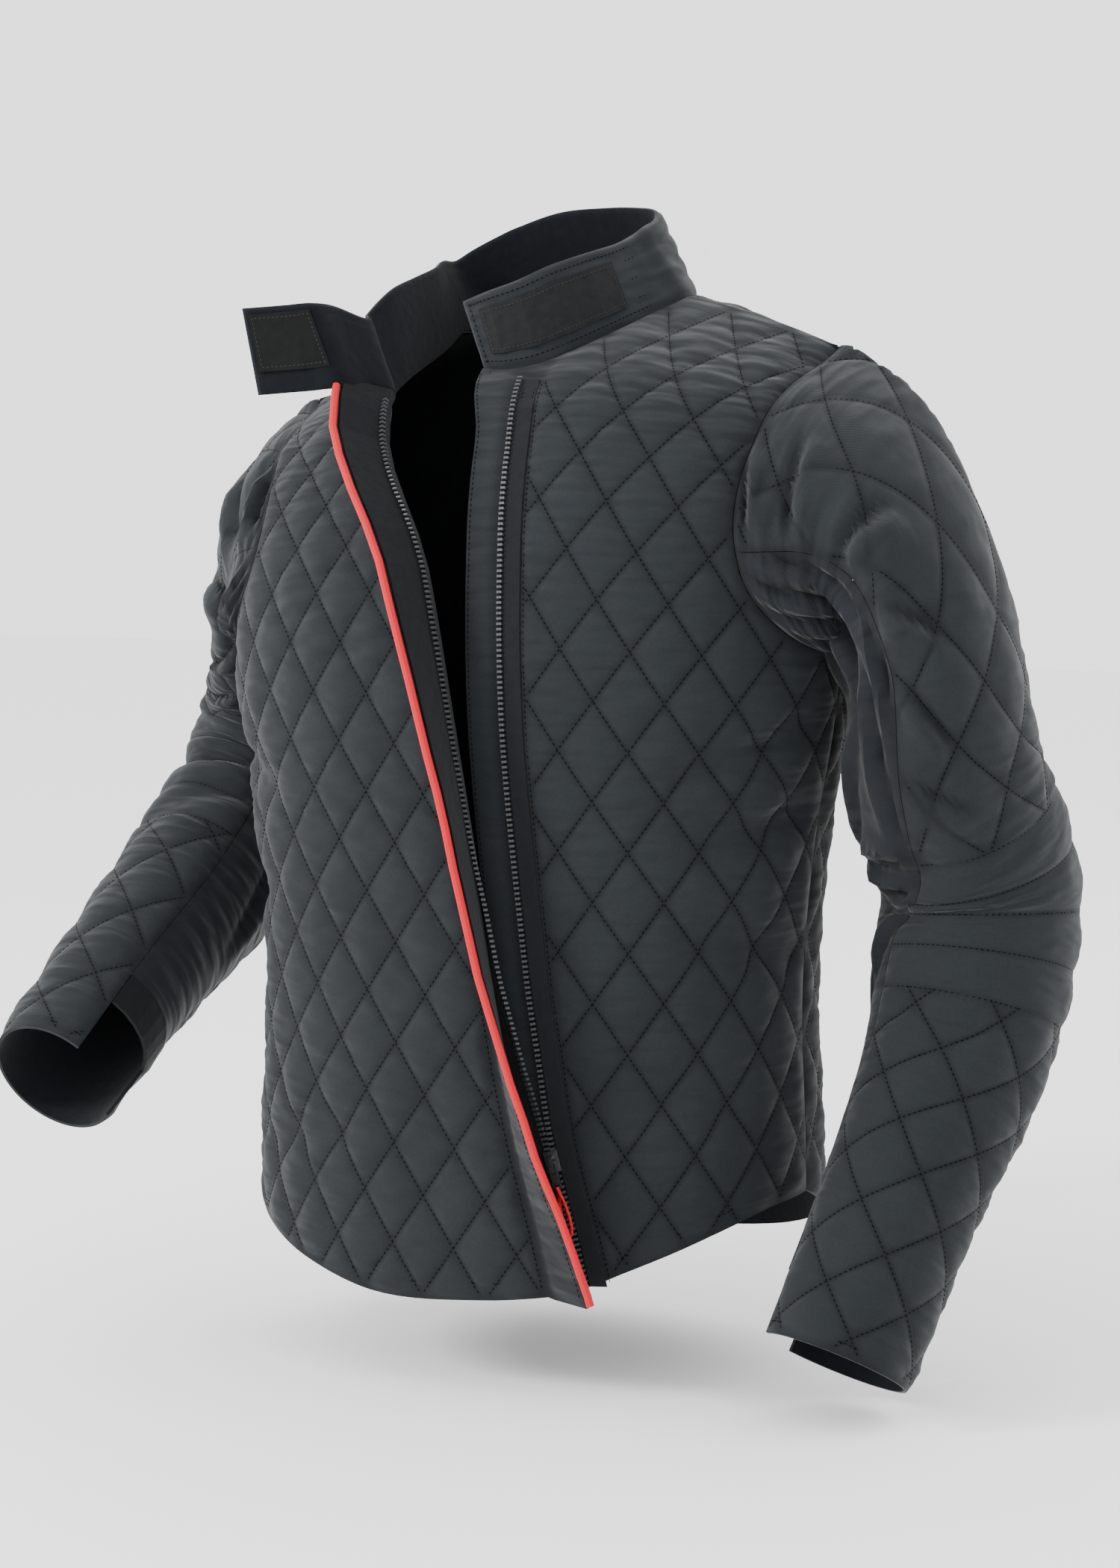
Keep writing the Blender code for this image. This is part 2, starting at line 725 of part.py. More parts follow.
SIDE_DROPS = [UNDERARM + (HEM_SIDE - UNDERARM) * k / 16 for k in range(17)]
SHOULDER_ALONGS = [NECK_HALF + (SHOULDER_END - NECK_HALF) * k / 5 for k in range(6)]
ARM_SHARES = [k / ARMHOLE_STEPS for k in range(ARMHOLE_STEPS + 1)]


def armhole_back(face, side, k):
    """Outer to inner corner at the armhole, shared by the body and the sleeve."""
    flat = armhole_edge(face, min(k, 0.999))
    body = body_normal(face, side * flat.x, max(flat.y, 6))
    turn = (1 if face == "front" else -1) * k * 180
    first = turn / 360 * sleeve_round(6.0, side)
    sleeve = side_sleeve_normal(side, first, 8.0)
    return mitre(body, sleeve, WALL)


def shoulder_back(along):
    front = body_normal("front", along, 4.0)
    back = body_normal("back", along, 4.0)
    return mitre(front, back, WALL)


def neck_rim(i):
    """Outer to inner corner at a point of the neckline, shared by the body and the collar."""
    outs, below = collar_columns()[3:]
    if i >= BACK_NECK_LAST:
        return below[i] * WALL
    return mitre(below[i], outs[i], WALL)


def opening_edge(side):
    """Distance of a front's free edge from the centre line, at a drop."""
    if side > 0:
        return lambda drop: (read(OPENING, "zip_left", drop) - ZIP_SET_IN
                             - TOP_SET_IN * (1 - ease((drop - NECK_FRONT) / 55)))
    return flap_root


def front_outline(side):
    """Flat outline of a front in distances from the centre line, with the rim at each point."""
    edge = opening_edge(side)
    reach = side_length("front", HEM_SIDE)
    corner = LEFT_NECK_LAST if side > 0 else BACK_NECK_LAST
    points, rims = [], []

    def put(point, rim=None):
        points.append(Vector(point))
        rims.append(rim)

    hem_start = edge(HEM_FRONT)
    for p in spread([(hem_start, 0), (side * (reach - SEAM_GAP), 0)], EDGE_STEP)[:-1]:
        put((p.x, hem_drop(LEFT_HEM if side > 0 else RIGHT_HEM, side * p.x, reach)))
    for drop in reversed(SIDE_DROPS):
        along = side_length("front", drop) - SEAM_GAP
        rim = Vector((side * WALL, 0.0, 0.0))
        if drop == UNDERARM:
            rim = armhole_back("front", side, 1.0)
            drop += SEAM_GAP
        put((side * along, drop), rim)
    for k in reversed(ARM_SHARES[1:-1]):
        flat = armhole_edge("front", k)
        put((side * (flat.x - SEAM_GAP), flat.y + SEAM_GAP), armhole_back("front", side, k))
    for i, along in enumerate(reversed(SHOULDER_ALONGS)):
        rim = shoulder_back(side * along) if i < 5 else neck_rim(corner)
        shift = -SEAM_GAP if i == 0 else SEAM_GAP if i == 5 else 0
        put((side * (along + shift), SEAM_GAP), rim)
    return points, rims, edge


def left_neck():
    """Front neckline of the left half, from the shoulder seam to the free edge."""
    end = opening_edge(1)(NECK_FRONT)
    count = LEFT_NECK_LAST
    alongs = [NECK_HALF + (end - NECK_HALF) * (k / count) ** 1.5 for k in range(count + 1)]
    return [Vector((a, neck_drop(a))) for a in alongs]


def right_neck():
    """Neckline of the right half, from the shoulder seam to the flap's root."""
    end = flap_root(RIGHT_NECK_END)
    count = RIGHT_NECK_LAST - BACK_NECK_LAST
    return [Vector((-NECK_HALF + (end + NECK_HALF) * k / count, RIGHT_NECK_END * k / count))
            for k in range(count + 1)]


def flap_top(past):
    """Drop of the flap's upper edge, which slants down towards its free edge."""
    return RIGHT_NECK_END + FLAP_SLANT * past


def flap_row(past, end, trim=0.0):
    """Drops at which the flap's layers are sampled at a distance past its root."""
    top = flap_top(past)
    return [top + trim, (top + TAPE_DROPS[1]) / 2] + TAPE_DROPS[1:] + [end]


def chain(places):
    return list(zip(places, places[1:]))


def make_front_left(material):
    points, rims, edge = front_outline(1)
    neck = left_neck()
    for k, p in enumerate(neck[1:]):
        points.append(Vector((p.x, p.y + SEAM_GAP)))
        rims.append(neck_rim(LEFT_NECK_LAST - 1 - k))
    top = points[-1].y
    for p in spread([(0, top), (0, points[0].y)], EDGE_STEP)[1:-1]:
        points.append(Vector((edge(p.y), p.y)))
        rims.append(None)
    band = TAPE_WIDTH + 6
    bands = []
    for shift in (0.0, band):
        bands += chain([Vector((read(OPENING, "zip_left", d) + shift, d)) for d in TAPE_DROPS])
    origin = Vector((read(OPENING, "zip_left", 300) + band, 300))
    lines, tops = diamond_lines(points, BODY_DIAMOND, origin)
    lines = right_of_band(lines, band)
    keep = [p for p in tops if p.x > read(OPENING, "zip_left", p.y) + band + 8]
    return panel("front_left", points, front_left_surface,
                 lambda a, d: normal_of(front_left_surface, a, max(d, 4.0), 2.0), material,
                 lines + bands, keep, rim=lambda k, p: rims[k])


def right_of_band(lines, band):
    """Quilting lines cut off where the plain band beside the zip begins."""
    kept = []
    for one, two in lines:
        places = [one.lerp(two, k / 60) for k in range(61)]
        clear = [p for p in places if p.x > read(OPENING, "zip_left", p.y) + band + 3]
        if len(clear) > 2:
            kept.append((clear[0], clear[-1]))
    return kept


def make_front_right(material):
    points, rims, edge = front_outline(-1)
    flats = [Vector((p.x - edge(p.y), p.y)) for p in points]
    flats[0] = Vector((0.0, flats[0].y))
    neck = right_neck()
    for k, p in enumerate(neck[1:]):
        flats.append(Vector((p.x - edge(p.y) - SEAM_GAP, p.y)))
        rims.append(neck_rim(BACK_NECK_LAST + 1 + k))
    flats[-1] = Vector((0.0, RIGHT_NECK_END))
    for k, past in enumerate(FLAP_PASTS[1:]):
        flats.append(Vector((past, flap_top(past))))
        rims.append(neck_rim(RIGHT_NECK_LAST + 1 + k))
    grid = [[Vector((past, drop)) for drop in flap_row(past, HEM_FRONT + FLAP_DIP)]
            for past in FLAP_PASTS]
    for point in grid[-1][1:]:
        flats.append(point)
        rims.append(None)
    for column in reversed(grid[1:-1]):
        flats.append(column[-1])
        rims.append(None)
    grid[0][-1] = flats[0]
    bends = []
    for column in grid[:-1]:
        bends += chain(column)
    for one, two in zip(grid, grid[1:]):
        bends += list(zip(one[:-1], two[1:])) + list(zip(one[1:-1], two[1:-1]))
    origin = Vector((-18, 300))
    wide = points + [Vector((FLAP + 90, 300))]
    slants, middles = diamond_lines(wide, BODY_DIAMOND, origin)
    lines = []
    for one, two in slants:
        places = [one.lerp(two, k / 60) for k in range(61)]
        moved = [Vector((p.x - edge(p.y), p.y)) for p in places]
        clear = [p for p in moved if p.x < -4]
        lines += chain(clear[::4] + clear[-1:])
    tops = [Vector((p.x - edge(p.y), p.y)) for p in middles]
    tops = [p for p in tops if p.x < -12]
    return panel("front_right", flats, front_right_surface,
                 lambda a, d: front_right_normal(a, max(d, 4.0)), material,
                 lines + bends, tops, rim=lambda k, p: rims[k], straight=bends)


def make_back(material):
    points, rims = [], []
    reach = side_length("back", HEM_SIDE)

    def put(point, rim=None):
        points.append(Vector(point))
        rims.append(rim)

    for p in spread([(-reach + SEAM_GAP, 0), (reach - SEAM_GAP, 0)], EDGE_STEP)[1:-1]:
        put((p.x, hem_drop(BACK_HEM, abs(p.x), reach)))
    for side in (1, -1):
        order = reversed if side > 0 else list
        for drop in order(SIDE_DROPS) if side > 0 else []:
            along = side_length("back", drop) - SEAM_GAP
            put((along, drop + (SEAM_GAP if drop == UNDERARM else 0)),
                armhole_back("back", 1, 1.0) if drop == UNDERARM else Vector((WALL, 0.0, 0.0)))
        if side > 0:
            for k in reversed(ARM_SHARES[1:-1]):
                flat = armhole_edge("back", k)
                put((flat.x - SEAM_GAP, flat.y + SEAM_GAP), armhole_back("back", 1, k))
            for i, along in enumerate(reversed(SHOULDER_ALONGS)):
                shift = -SEAM_GAP if i == 0 else SEAM_GAP if i == 5 else 0
                put((along + shift, SEAM_GAP),
                    shoulder_back(along) if i < 5 else neck_rim(LEFT_NECK_LAST))
            for k, p in enumerate(back_neck()[1:-1]):
                put((p.x, p.y + SEAM_GAP), neck_rim(LEFT_NECK_LAST + 1 + k))
        else:
            for i, along in enumerate(SHOULDER_ALONGS):
                shift = SEAM_GAP if i == 0 else -SEAM_GAP if i == 5 else 0
                put((-along - shift, SEAM_GAP),
                    shoulder_back(-along) if i else neck_rim(BACK_NECK_LAST))
            for k in ARM_SHARES[1:-1]:
                flat = armhole_edge("back", k)
                put((-flat.x + SEAM_GAP, flat.y + SEAM_GAP), armhole_back("back", -1, k))
            for drop in SIDE_DROPS:
                along = side_length("back", drop) - SEAM_GAP
                put((-along, drop + (SEAM_GAP if drop == UNDERARM else 0)),
                    armhole_back("back", -1, 1.0) if drop == UNDERARM
                    else Vector((-WALL, 0.0, 0.0)))
    lines, tops = diamond_lines(points, BODY_DIAMOND, Vector((0, 300)))
    return panel("back", points, back_surface,
                 lambda a, d: -normal_of(back_surface, a, max(d, 4.0), 2.0), material,
                 lines, tops, rim=lambda k, p: rims[k])


def back_neck():
    """Back neckline from the left shoulder seam to the right one."""
    count = BACK_NECK_LAST - LEFT_NECK_LAST
    turns = [math.pi * k / count for k in range(count + 1)]
    return [Vector((NECK_HALF * math.copysign(abs(math.cos(a)) ** 0.7, math.cos(a)),
                    NECK_BACK * math.sin(a) ** 0.7)) for a in turns]


def at_turn(side, name, along):
    """Distance round the sleeve of one of its seams."""
    return read(sleeve_rings(side), name, along) / 360 * sleeve_round(along, side)


def sleeve_ends(side):
    outer = sleeve_rings(side)[-1].along
    inner = outer - INNER_SHORT
    return outer, inner, inner - CUFF_BAND


def seam_alongs(side):
    """Distances at which both seams are sampled, from the armhole to the inner panel's end."""
    band = sleeve_ends(side)[2]
    count = round(band / SLEEVE_EDGE_STEP)
    return [SLEEVE_GAP] + [band * k / count for k in range(1, count + 1)]


def sleeve_top(side, turns):
    """Flat points and rims of the sleeve's edge at the armhole."""
    points, rims = [], []
    for turn in turns:
        face = "front" if (turn + 180) % 360 - 180 >= 0 else "back"
        share = abs((turn + 180) % 360 - 180) / 180
        first = turn / 360 * sleeve_round(SLEEVE_GAP, side)
        surface = sleeve_surface(side)
        down = (surface(first, 8.0) - surface(first, SLEEVE_GAP)).normalized()
        points.append(Vector((first, SLEEVE_GAP)))
        rims.append(armhole_back(face, side, share) - down * SEAM_LEAN)
    return points, rims


def seam_rims(side, name, alongs, lean):
    """Outer to inner corner along a sleeve seam, leaning off the neighbouring panel's."""
    surface = sleeve_surface(side)
    rims = []
    for along in alongs:
        first = at_turn(side, name, along)
        across = (surface(first + 1, along) - surface(first - 1, along)).normalized()
        rims.append(side_sleeve_normal(side, first, along) * WALL + across * lean)
    return rims


def lean_corners(side, top, rims, lean):
    """Lean the armhole's two corners of a panel off the neighbouring panel's too."""
    surface = sleeve_surface(side)
    for i, way in ((0, 1), (-1, -1)):
        first = top[i].x
        across = (surface(first + 1, SLEEVE_GAP) - surface(first - 1, SLEEVE_GAP)).normalized()
        rims[i] = rims[i] + across * (lean * way)


def between(lines, low, high):
    """Parts of flat lines whose second coordinate lies in a range."""
    kept = []
    for one, two in lines:
        rise = two.y - one.y
        if abs(rise) < 1e-6:
            continue
        first, last = sorted(((low - one.y) / rise, (high - one.y) / rise))
        first, last = max(first, 0.0), min(last, 1.0)
        if last - first > 0.02:
            kept.append((one.lerp(two, first), one.lerp(two, last)))
    return kept


def make_sleeve_outer(side, name, material):
    outer_end, inner_end, band_start = sleeve_ends(side)
    alongs = seam_alongs(side) + [band_start + CUFF_BAND, outer_end]
    front_turn = sleeve_rings(side)[0].front_seam
    back_turn = sleeve_rings(side)[0].back_seam
    points, rims = [], []
    for along in alongs[1:]:
        points.append(Vector((at_turn(side, "front_seam", along) - SEAM_GAP, along)))
    ends = [points[-1], Vector((at_turn(side, "back_seam", outer_end) + SEAM_GAP, outer_end))]
    points += spread(ends, EDGE_STEP)[1:-1]
    for along in reversed(alongs[1:]):
        points.append(Vector((at_turn(side, "back_seam", along) + SEAM_GAP, along)))
    rims = seam_rims(side, "front_seam", alongs[1:], SEAM_LEAN)
    rims += [None] * (len(points) - 2 * len(rims))
    rims += seam_rims(side, "back_seam", alongs[:0:-1], -SEAM_LEAN)
    turns = [back_turn + 15 * k for k in range(int((front_turn - back_turn) / 15) + 1)]
    top, top_rims = sleeve_top(side, turns)
    top[0].x += SEAM_GAP
    top[-1].x -= SEAM_GAP
    lean_corners(side, top, top_rims, -SEAM_LEAN)
    points += top
    rims += top_rims
    elbow_to = ELBOW_FROM + ELBOW_PITCH * (ELBOW_CHANNELS - 1)
    slants, middles = diamond_lines(points, SLEEVE_DIAMOND, Vector((0, 30)))
    lines = between(slants, 0, ELBOW_FROM - 2) + between(slants, elbow_to + 2, outer_end)
    tops = [p for p in middles if p.y < ELBOW_FROM - 12 or p.y > elbow_to + 12]
    low = min(p.x for p in points)
    high = max(p.x for p in points)
    steps = 11
    for k in range(ELBOW_CHANNELS):
        drop = ELBOW_FROM + k * ELBOW_PITCH
        row = [Vector((low + (high - low) * i / steps, drop)) for i in range(steps + 1)]
        lines += chain(row)
        if k:
            middle = drop - ELBOW_PITCH / 2
            tops += [Vector((low + (high - low) * (i + 0.5) / steps, middle))
                     for i in range(steps)]
    return panel(name, points, sleeve_surface(side),
                 lambda a, d: side_sleeve_normal(side, a, d), material, lines, tops,
                 rim=lambda k, p: rims[k], margin=5.0)


def make_sleeve_inner(side, name, material):
    band_start = sleeve_ends(side)[2]
    alongs = seam_alongs(side)
    rows = sleeve_rings(side)
    points, rims = [], []

    def back_first(along):
        return at_turn(side, "back_seam", along) + sleeve_round(along, side)

    for along in alongs[1:]:
        points.append(Vector((at_turn(side, "front_seam", along) + SEAM_GAP, along)))
    ends = [points[-1], Vector((back_first(band_start) - SEAM_GAP, band_start))]
    points += spread(ends, EDGE_STEP)[1:-1]
    for along in reversed(alongs[1:]):
        points.append(Vector((back_first(along) - SEAM_GAP, along)))
    rims = seam_rims(side, "front_seam", alongs[1:], -SEAM_LEAN)
    rims += [None] * (len(points) - 2 * len(rims))
    rims += seam_rims(side, "back_seam", alongs[:0:-1], SEAM_LEAN)
    first, last = rows[0].front_seam, rows[0].back_seam + 360
    turns = [last - 15 * k for k in range(int((last - first) / 15) + 1)]
    top, top_rims = sleeve_top(side, turns)
    top[0].x -= SEAM_GAP
    top[-1].x += SEAM_GAP
    lean_corners(side, top, top_rims, SEAM_LEAN)
    points += top
    rims += top_rims
    grid = plain_points(points, PLAIN_STEP)
    return panel(name, points, sleeve_surface(side),
                 lambda a, d: side_sleeve_normal(side, a, d), material, (), grid,
                 rim=lambda k, p: rims[k], margin=6.0, height=0.0)


def slab(name, outer, inner, material, smooth=True):
    """Closed wall between two grids of points of the same size."""
    rows, columns = len(outer), len(outer[0])
    points = [p for row in outer for p in row] + [p for row in inner for p in row]
    shift = rows * columns
    faces = []
    for i in range(rows - 1):
        for j in range(columns - 1):
            a = i * columns + j
            b, c, d = a + 1, a + columns + 1, a + columns
            faces += [(a, b, c), (a, c, d)]
            faces += [(a + shift, c + shift, b + shift), (a + shift, d + shift, c + shift)]
    loop = list(range(columns))
    loop += [i * columns + columns - 1 for i in range(1, rows)]
    loop += [(rows - 1) * columns + j for j in range(columns - 2, -1, -1)]
    loop += [i * columns for i in range(rows - 2, 0, -1)]
    for a, b in zip(loop, loop[1:] + loop[:1]):
        faces += [(b, a, a + shift), (b, a + shift, b + shift)]
    return mesh_object(name, points, faces, material, smooth)


def make_cuff_band(side, name, material):
    """Turned band at the end of the plain inner panel."""
    band_start = sleeve_ends(side)[2]
    outer, inner = [], []
    for along in (band_start + SMALL_GAP, band_start + CUFF_BAND / 2, band_start + CUFF_BAND):
        first = at_turn(side, "front_seam", along) + SMALL_GAP
        last = at_turn(side, "back_seam", along) + sleeve_round(along, side) - SMALL_GAP
        count = 6
        rows = ([], [])
        for k in range(count + 1):
            place = first + (last - first) * k / count
            point = sleeve_surface(side)(place, along)
            out = side_sleeve_normal(side, place, along)
            rows[0].append(point)
            rows[1].append(point - out * CUFF_WALL)
        outer.append(rows[0])
        inner.append(rows[1])
    return slab(name, outer, inner, material)


def right_grid(turn_name, drops, places, lift):
    """Grid of points on the right half: places gives the distances past the root at a drop."""
    surface = right_sheet(turn_name, lift, TAPE_LIFT)
    return [[surface(past, drop) for past in places(drop)] for drop in drops]


def facing_grid(lift, places):
    """Grid of points behind the flap, whose first row follows its slanting upper edge."""
    surface = right_sheet("flap_turn", lift)
    columns = [[surface(past, drop) for drop in flap_row(past, HEM_FRONT + FLAP_DIP - 2, 1.0)]
               for past in places]
    return [list(row) for row in zip(*columns)]


def make_facing(material):
    lift = -(WALL + GAP)
    places = FLAP_PASTS[:-1] + (FLAP - 1.0,)
    return slab("facing_right", facing_grid(lift, places),
                facing_grid(lift - FACING_THICK, places), material)


TAPE_LIFT = -(WALL + FACING_THICK + 4 * GAP)


def tape_past(drop, share):
    reach = read(OPENING, "tape_reach", drop) - CHAIN_WIDTH - SMALL_GAP - SEAM_GAP
    return 1.0 + (reach - 1.0) * share


def make_zip_right(tape_material, chain_material):
    def cloth(drop):
        return [tape_past(drop, k / 3) for k in range(4)]

    outer = right_grid("tape_turn", RIGHT_DROPS, cloth, TAPE_LIFT)
    inner = right_grid("tape_turn", RIGHT_DROPS, cloth, TAPE_LIFT - TAPE_THICK)
    slab("zip_tape_right", outer, inner, tape_material)

    def teeth(drop):
        reach = read(OPENING, "tape_reach", drop) - SEAM_GAP
        return (reach - CHAIN_WIDTH, reach)

    rise = (CHAIN_HEIGHT - TAPE_THICK) / 2
    drops = RIGHT_DROPS[:len(OPEN_DROPS)]
    outer = right_grid("tape_turn", drops, teeth, TAPE_LIFT + rise)
    inner = right_grid("tape_turn", drops, teeth, TAPE_LIFT - TAPE_THICK - rise)
    slab("zip_chain_right", outer, inner, chain_material, False)


def left_grid(drops, shifts, lift):
    """Grid of points over the left front, at distances from the line of its teeth."""
    def place(s, d):
        along = read(OPENING, "zip_left", d) + s
        return front_left_surface(along, d) + body_normal("front", along, d) * lift
    return [[place(s, d) for s in shifts] for d in drops]


def make_zip_left(tape_material, chain_material):
    shifts = (SEAM_GAP + CHAIN_WIDTH + SMALL_GAP, 9.0, TAPE_WIDTH + 3.0)
    low = SMALL_GAP + 0.2
    slab("zip_tape_left", left_grid(TAPE_DROPS, shifts, low + TAPE_THICK),
         left_grid(TAPE_DROPS, shifts, low), tape_material)
    shifts = (SEAM_GAP, SEAM_GAP + CHAIN_WIDTH)
    slab("zip_chain_left", left_grid(OPEN_DROPS, shifts, low + CHAIN_HEIGHT),
         left_grid(OPEN_DROPS, shifts, low), chain_material, False)
    shifts = (-SEAM_GAP - CHAIN_WIDTH, SEAM_GAP + CHAIN_WIDTH)
    slab("zip_chain_closed", left_grid(CLOSED_DROPS, shifts, low + CHAIN_HEIGHT),
         left_grid(CLOSED_DROPS, shifts, low), chain_material, False)


def curve_object(name, points, radius, material, closed=False, sides=2):
    """Round cord along points in millimetres."""
    curve = bpy.data.curves.new(name, "CURVE")
    curve.dimensions = "3D"
    curve.bevel_depth = radius * MM
    curve.bevel_resolution = sides
    curve.use_fill_caps = not closed
    line = curve.splines.new("POLY")
    line.points.add(len(points) - 1)
    for place, point in zip(line.points, points):
        place.co = (*(c * MM for c in point), 1)
    line.use_cyclic_u = closed
    thing = bpy.data.objects.new(name, curve)
    curve.materials.append(material)
    JACKET.objects.link(thing)
    return thing


def make_piping(material):
    past = FLAP + PIPING_SET + PIPING_RADIUS
    surface = right_sheet("flap_turn", -WALL / 2)
    points = [surface(past, drop) for drop in flap_row(FLAP, HEM_FRONT + FLAP_DIP - 2, 2.0)]
    return curve_object("piping_right", points, PIPING_RADIUS, material)


def collar_base():
    """Points of the neckline from the left free edge round to the flap's corner, with the
    outward direction of the cloth below each."""
    base = []
    for p in reversed(left_neck()):
        normal = normal_of(front_left_surface, p.x, max(p.y, 6.0), 2.0)
        base.append((front_left_surface(p.x, p.y), normal))
    for p in back_neck()[1:]:
        base.append((back_surface(p.x, p.y), body_normal("back", p.x, max(p.y, 6.0))))
    for p in right_neck()[1:]:
        past = min(p.x - flap_root(p.y), 0.0)
        base.append((front_right_surface(past, p.y), front_right_normal(past, max(p.y, 6.0))))
    for past in FLAP_PASTS[1:]:
        drop = flap_top(past)
        base.append((front_right_surface(past, drop), front_right_normal(past, drop)))
    for i, face in ((LEFT_NECK_LAST, "back"), (BACK_NECK_LAST, "front")):
        x = NECK_HALF if face == "back" else -NECK_HALF
        base[i] = (base[i][0], (base[i][1] + body_normal(face, x, 6.0)).normalized())
    corner = base[-1][0]
    for k in range(1, TAB_STEPS + 1):
        base.append((corner + TAB_WAY * (TAB_LENGTH * k / TAB_STEPS), None))
    return base


@lru_cache(maxsize=None)
def collar_columns():
    """Base points, their distances along the neckline, the ups and the outward directions."""
    base = collar_base()
    points = [b[0] for b in base]
    alongs = [0.0]
    for one, two in zip(points, points[1:]):
        alongs.append(alongs[-1] + (two - one).length)
    ups = [Vector([read(COLLAR_STANCE, name, s) for name in ("side", "back", "up")])
           for s in alongs]
    outs = []
    for i in range(len(points)):
        before, after = points[max(i - 1, 0)], points[min(i + 1, len(points) - 1)]
        low = (after - before).normalized()
        tops = (after + ups[min(i + 1, len(ups) - 1)]) - (before + ups[max(i - 1, 0)])
        outs.append((low + tops.normalized()).cross(ups[i]).normalized())
    return points, alongs, ups, outs, [b[1] for b in base]


def make_collar(material):
    points, alongs, ups, outs, below = collar_columns()
    outer, inner = [], []
    for i, (point, along, up, out, cloth) in enumerate(zip(points, alongs, ups, outs, below)):
        rows = ([], [])
        padded = PADDED_FROM < along < PADDED_TO
        for k in range(COLLAR_ROWS + 1):
            share = max(k / COLLAR_ROWS, SMALL_GAP / up.length)
            place = point + up * share
            back = out * COLLAR_WALL
            if k == 0 and cloth is not None:
                back = neck_rim(i)
            puff = COLLAR_PUFF if padded and k % 2 else 0.0
            rows[0].append(place + out * puff)
            rows[1].append(place - back)
        outer.append(rows[0])
        inner.append(rows[1])
    return slab("collar", outer, inner, material)


def collar_point(columns, along, share, lift):
    """Point over the collar's flat face between its columns."""
    points, alongs, ups, outs = columns[:4]
    i = max(j for j in range(len(alongs) - 1) if alongs[j] <= along + 1e-6)
    u = (along - alongs[i]) / (alongs[i + 1] - alongs[i])
    ends = [points[j] + ups[j] * share + outs[j] * lift for j in (i, i + 1)]
    return ends[0].lerp(ends[1], u)


def make_patch(name, start, end, low, high, near, far, material):
    """Thin patch over the collar from start to end along it, between two of its heights."""
    columns = collar_columns()
    stops = [start] + [s for s in columns[1] if start + 2 < s < end - 2] + [end]
    shares = [low + (high - low) * k / 3 for k in range(4)]
    outer = [[collar_point(columns, s, v, far) for v in shares] for s in stops]
    inner = [[collar_point(columns, s, v, near) for v in shares] for s in stops]
    return slab(name, outer, inner, material)


def slider_frame():
    """Place and directions at the slider: across, down the cloth, and out of it."""
    along = read(OPENING, "zip_left", SLIDER_DROP)
    centre = bare_body("front", along, SLIDER_DROP)
    out = body_normal("front", along, SLIDER_DROP)
    ahead = (bare_body("front", read(OPENING, "zip_left", SLIDER_DROP + 20), SLIDER_DROP + 20)
             - centre)
    down = (ahead - out * ahead.dot(out)).normalized()
    return centre, out.cross(down), down, out


def extruded(name, outline, holes, place, first, second, away, thick, material):
    """Plate cut from a flat outline with holes, along two directions, thickened along a third."""
    loops = [[Vector(p) for p in outline]] + [[Vector(p) for p in hole] for hole in holes]
    flats, edges = [], []
    for loop in loops:
        start = len(flats)
        flats += loop
        edges += [(start + k, start + (k + 1) % len(loop)) for k in range(len(loop))]
    cut = delaunay_2d_cdt(flats, edges, [], 0, 0.0001, True)
    keep = []
    for face in cut[2]:
        middle = sum((cut[0][i] for i in face), Vector((0, 0))) / 3
        if inside(loops[0], middle) and not any(inside(loop, middle) for loop in loops[1:]):
            keep.append(tuple(face))
    points = []
    for lift in (0.0, thick):
        points += [place + first * p.x + second * p.y + away * lift for p in cut[0]]
    shift = len(cut[0])
    faces = list(keep) + [tuple(i + shift for i in reversed(face)) for face in keep]
    sides = {(a, b) for face in keep for a, b in zip(face, face[1:] + face[:1])}
    faces += [(b, a, a + shift, b + shift) for a, b in sides if (b, a) not in sides]
    return mesh_object(name, points, faces, material, False)


def make_slider(material):
    """Slider of a T section with the arch that holds its pull."""
    centre, across, down, out = slider_frame()
    half = SLIDER_LENGTH / 2
    body = extruded("zip_slider", SLIDER_SECTION, [], centre - down * half, across, out, down,
                    SLIDER_LENGTH, material)
    loop = extruded("slider_arch", ARCH, [ARCH_EYE], centre - across * (ARCH_THICK / 2),
                    down, out, across, ARCH_THICK, material)
    merge = body.modifiers.new("arch", "BOOLEAN")
    merge.operation = "UNION"
    merge.solver = "EXACT"
    merge.object = loop
    loop.hide_render = True
    loop.hide_viewport = True
    return body


def make_pull(material):
    centre, across, down, out = slider_frame()
    plate = PULL_EDGE + [(-x, y) for x, y in reversed(PULL_EDGE)]
    return extruded("zip_pull", plate, [PULL_EYE, PULL_HOLE],
                    centre + out * (HINGE_HEIGHT - PULL_THICK / 2), across, down, out,
                    PULL_THICK, material)


def make_cord(material):
    """Loop of cord through the hole at the pull's end."""
    centre, across, down, out = slider_frame()
    places = [centre + across * a + down * (PULL_HOLE_MIDDLE + d) + out * (HINGE_HEIGHT + h)
              for a, d, h in CORD_PATH]
    return curve_object("pull_cord", places, CORD_RADIUS, material, closed=True)


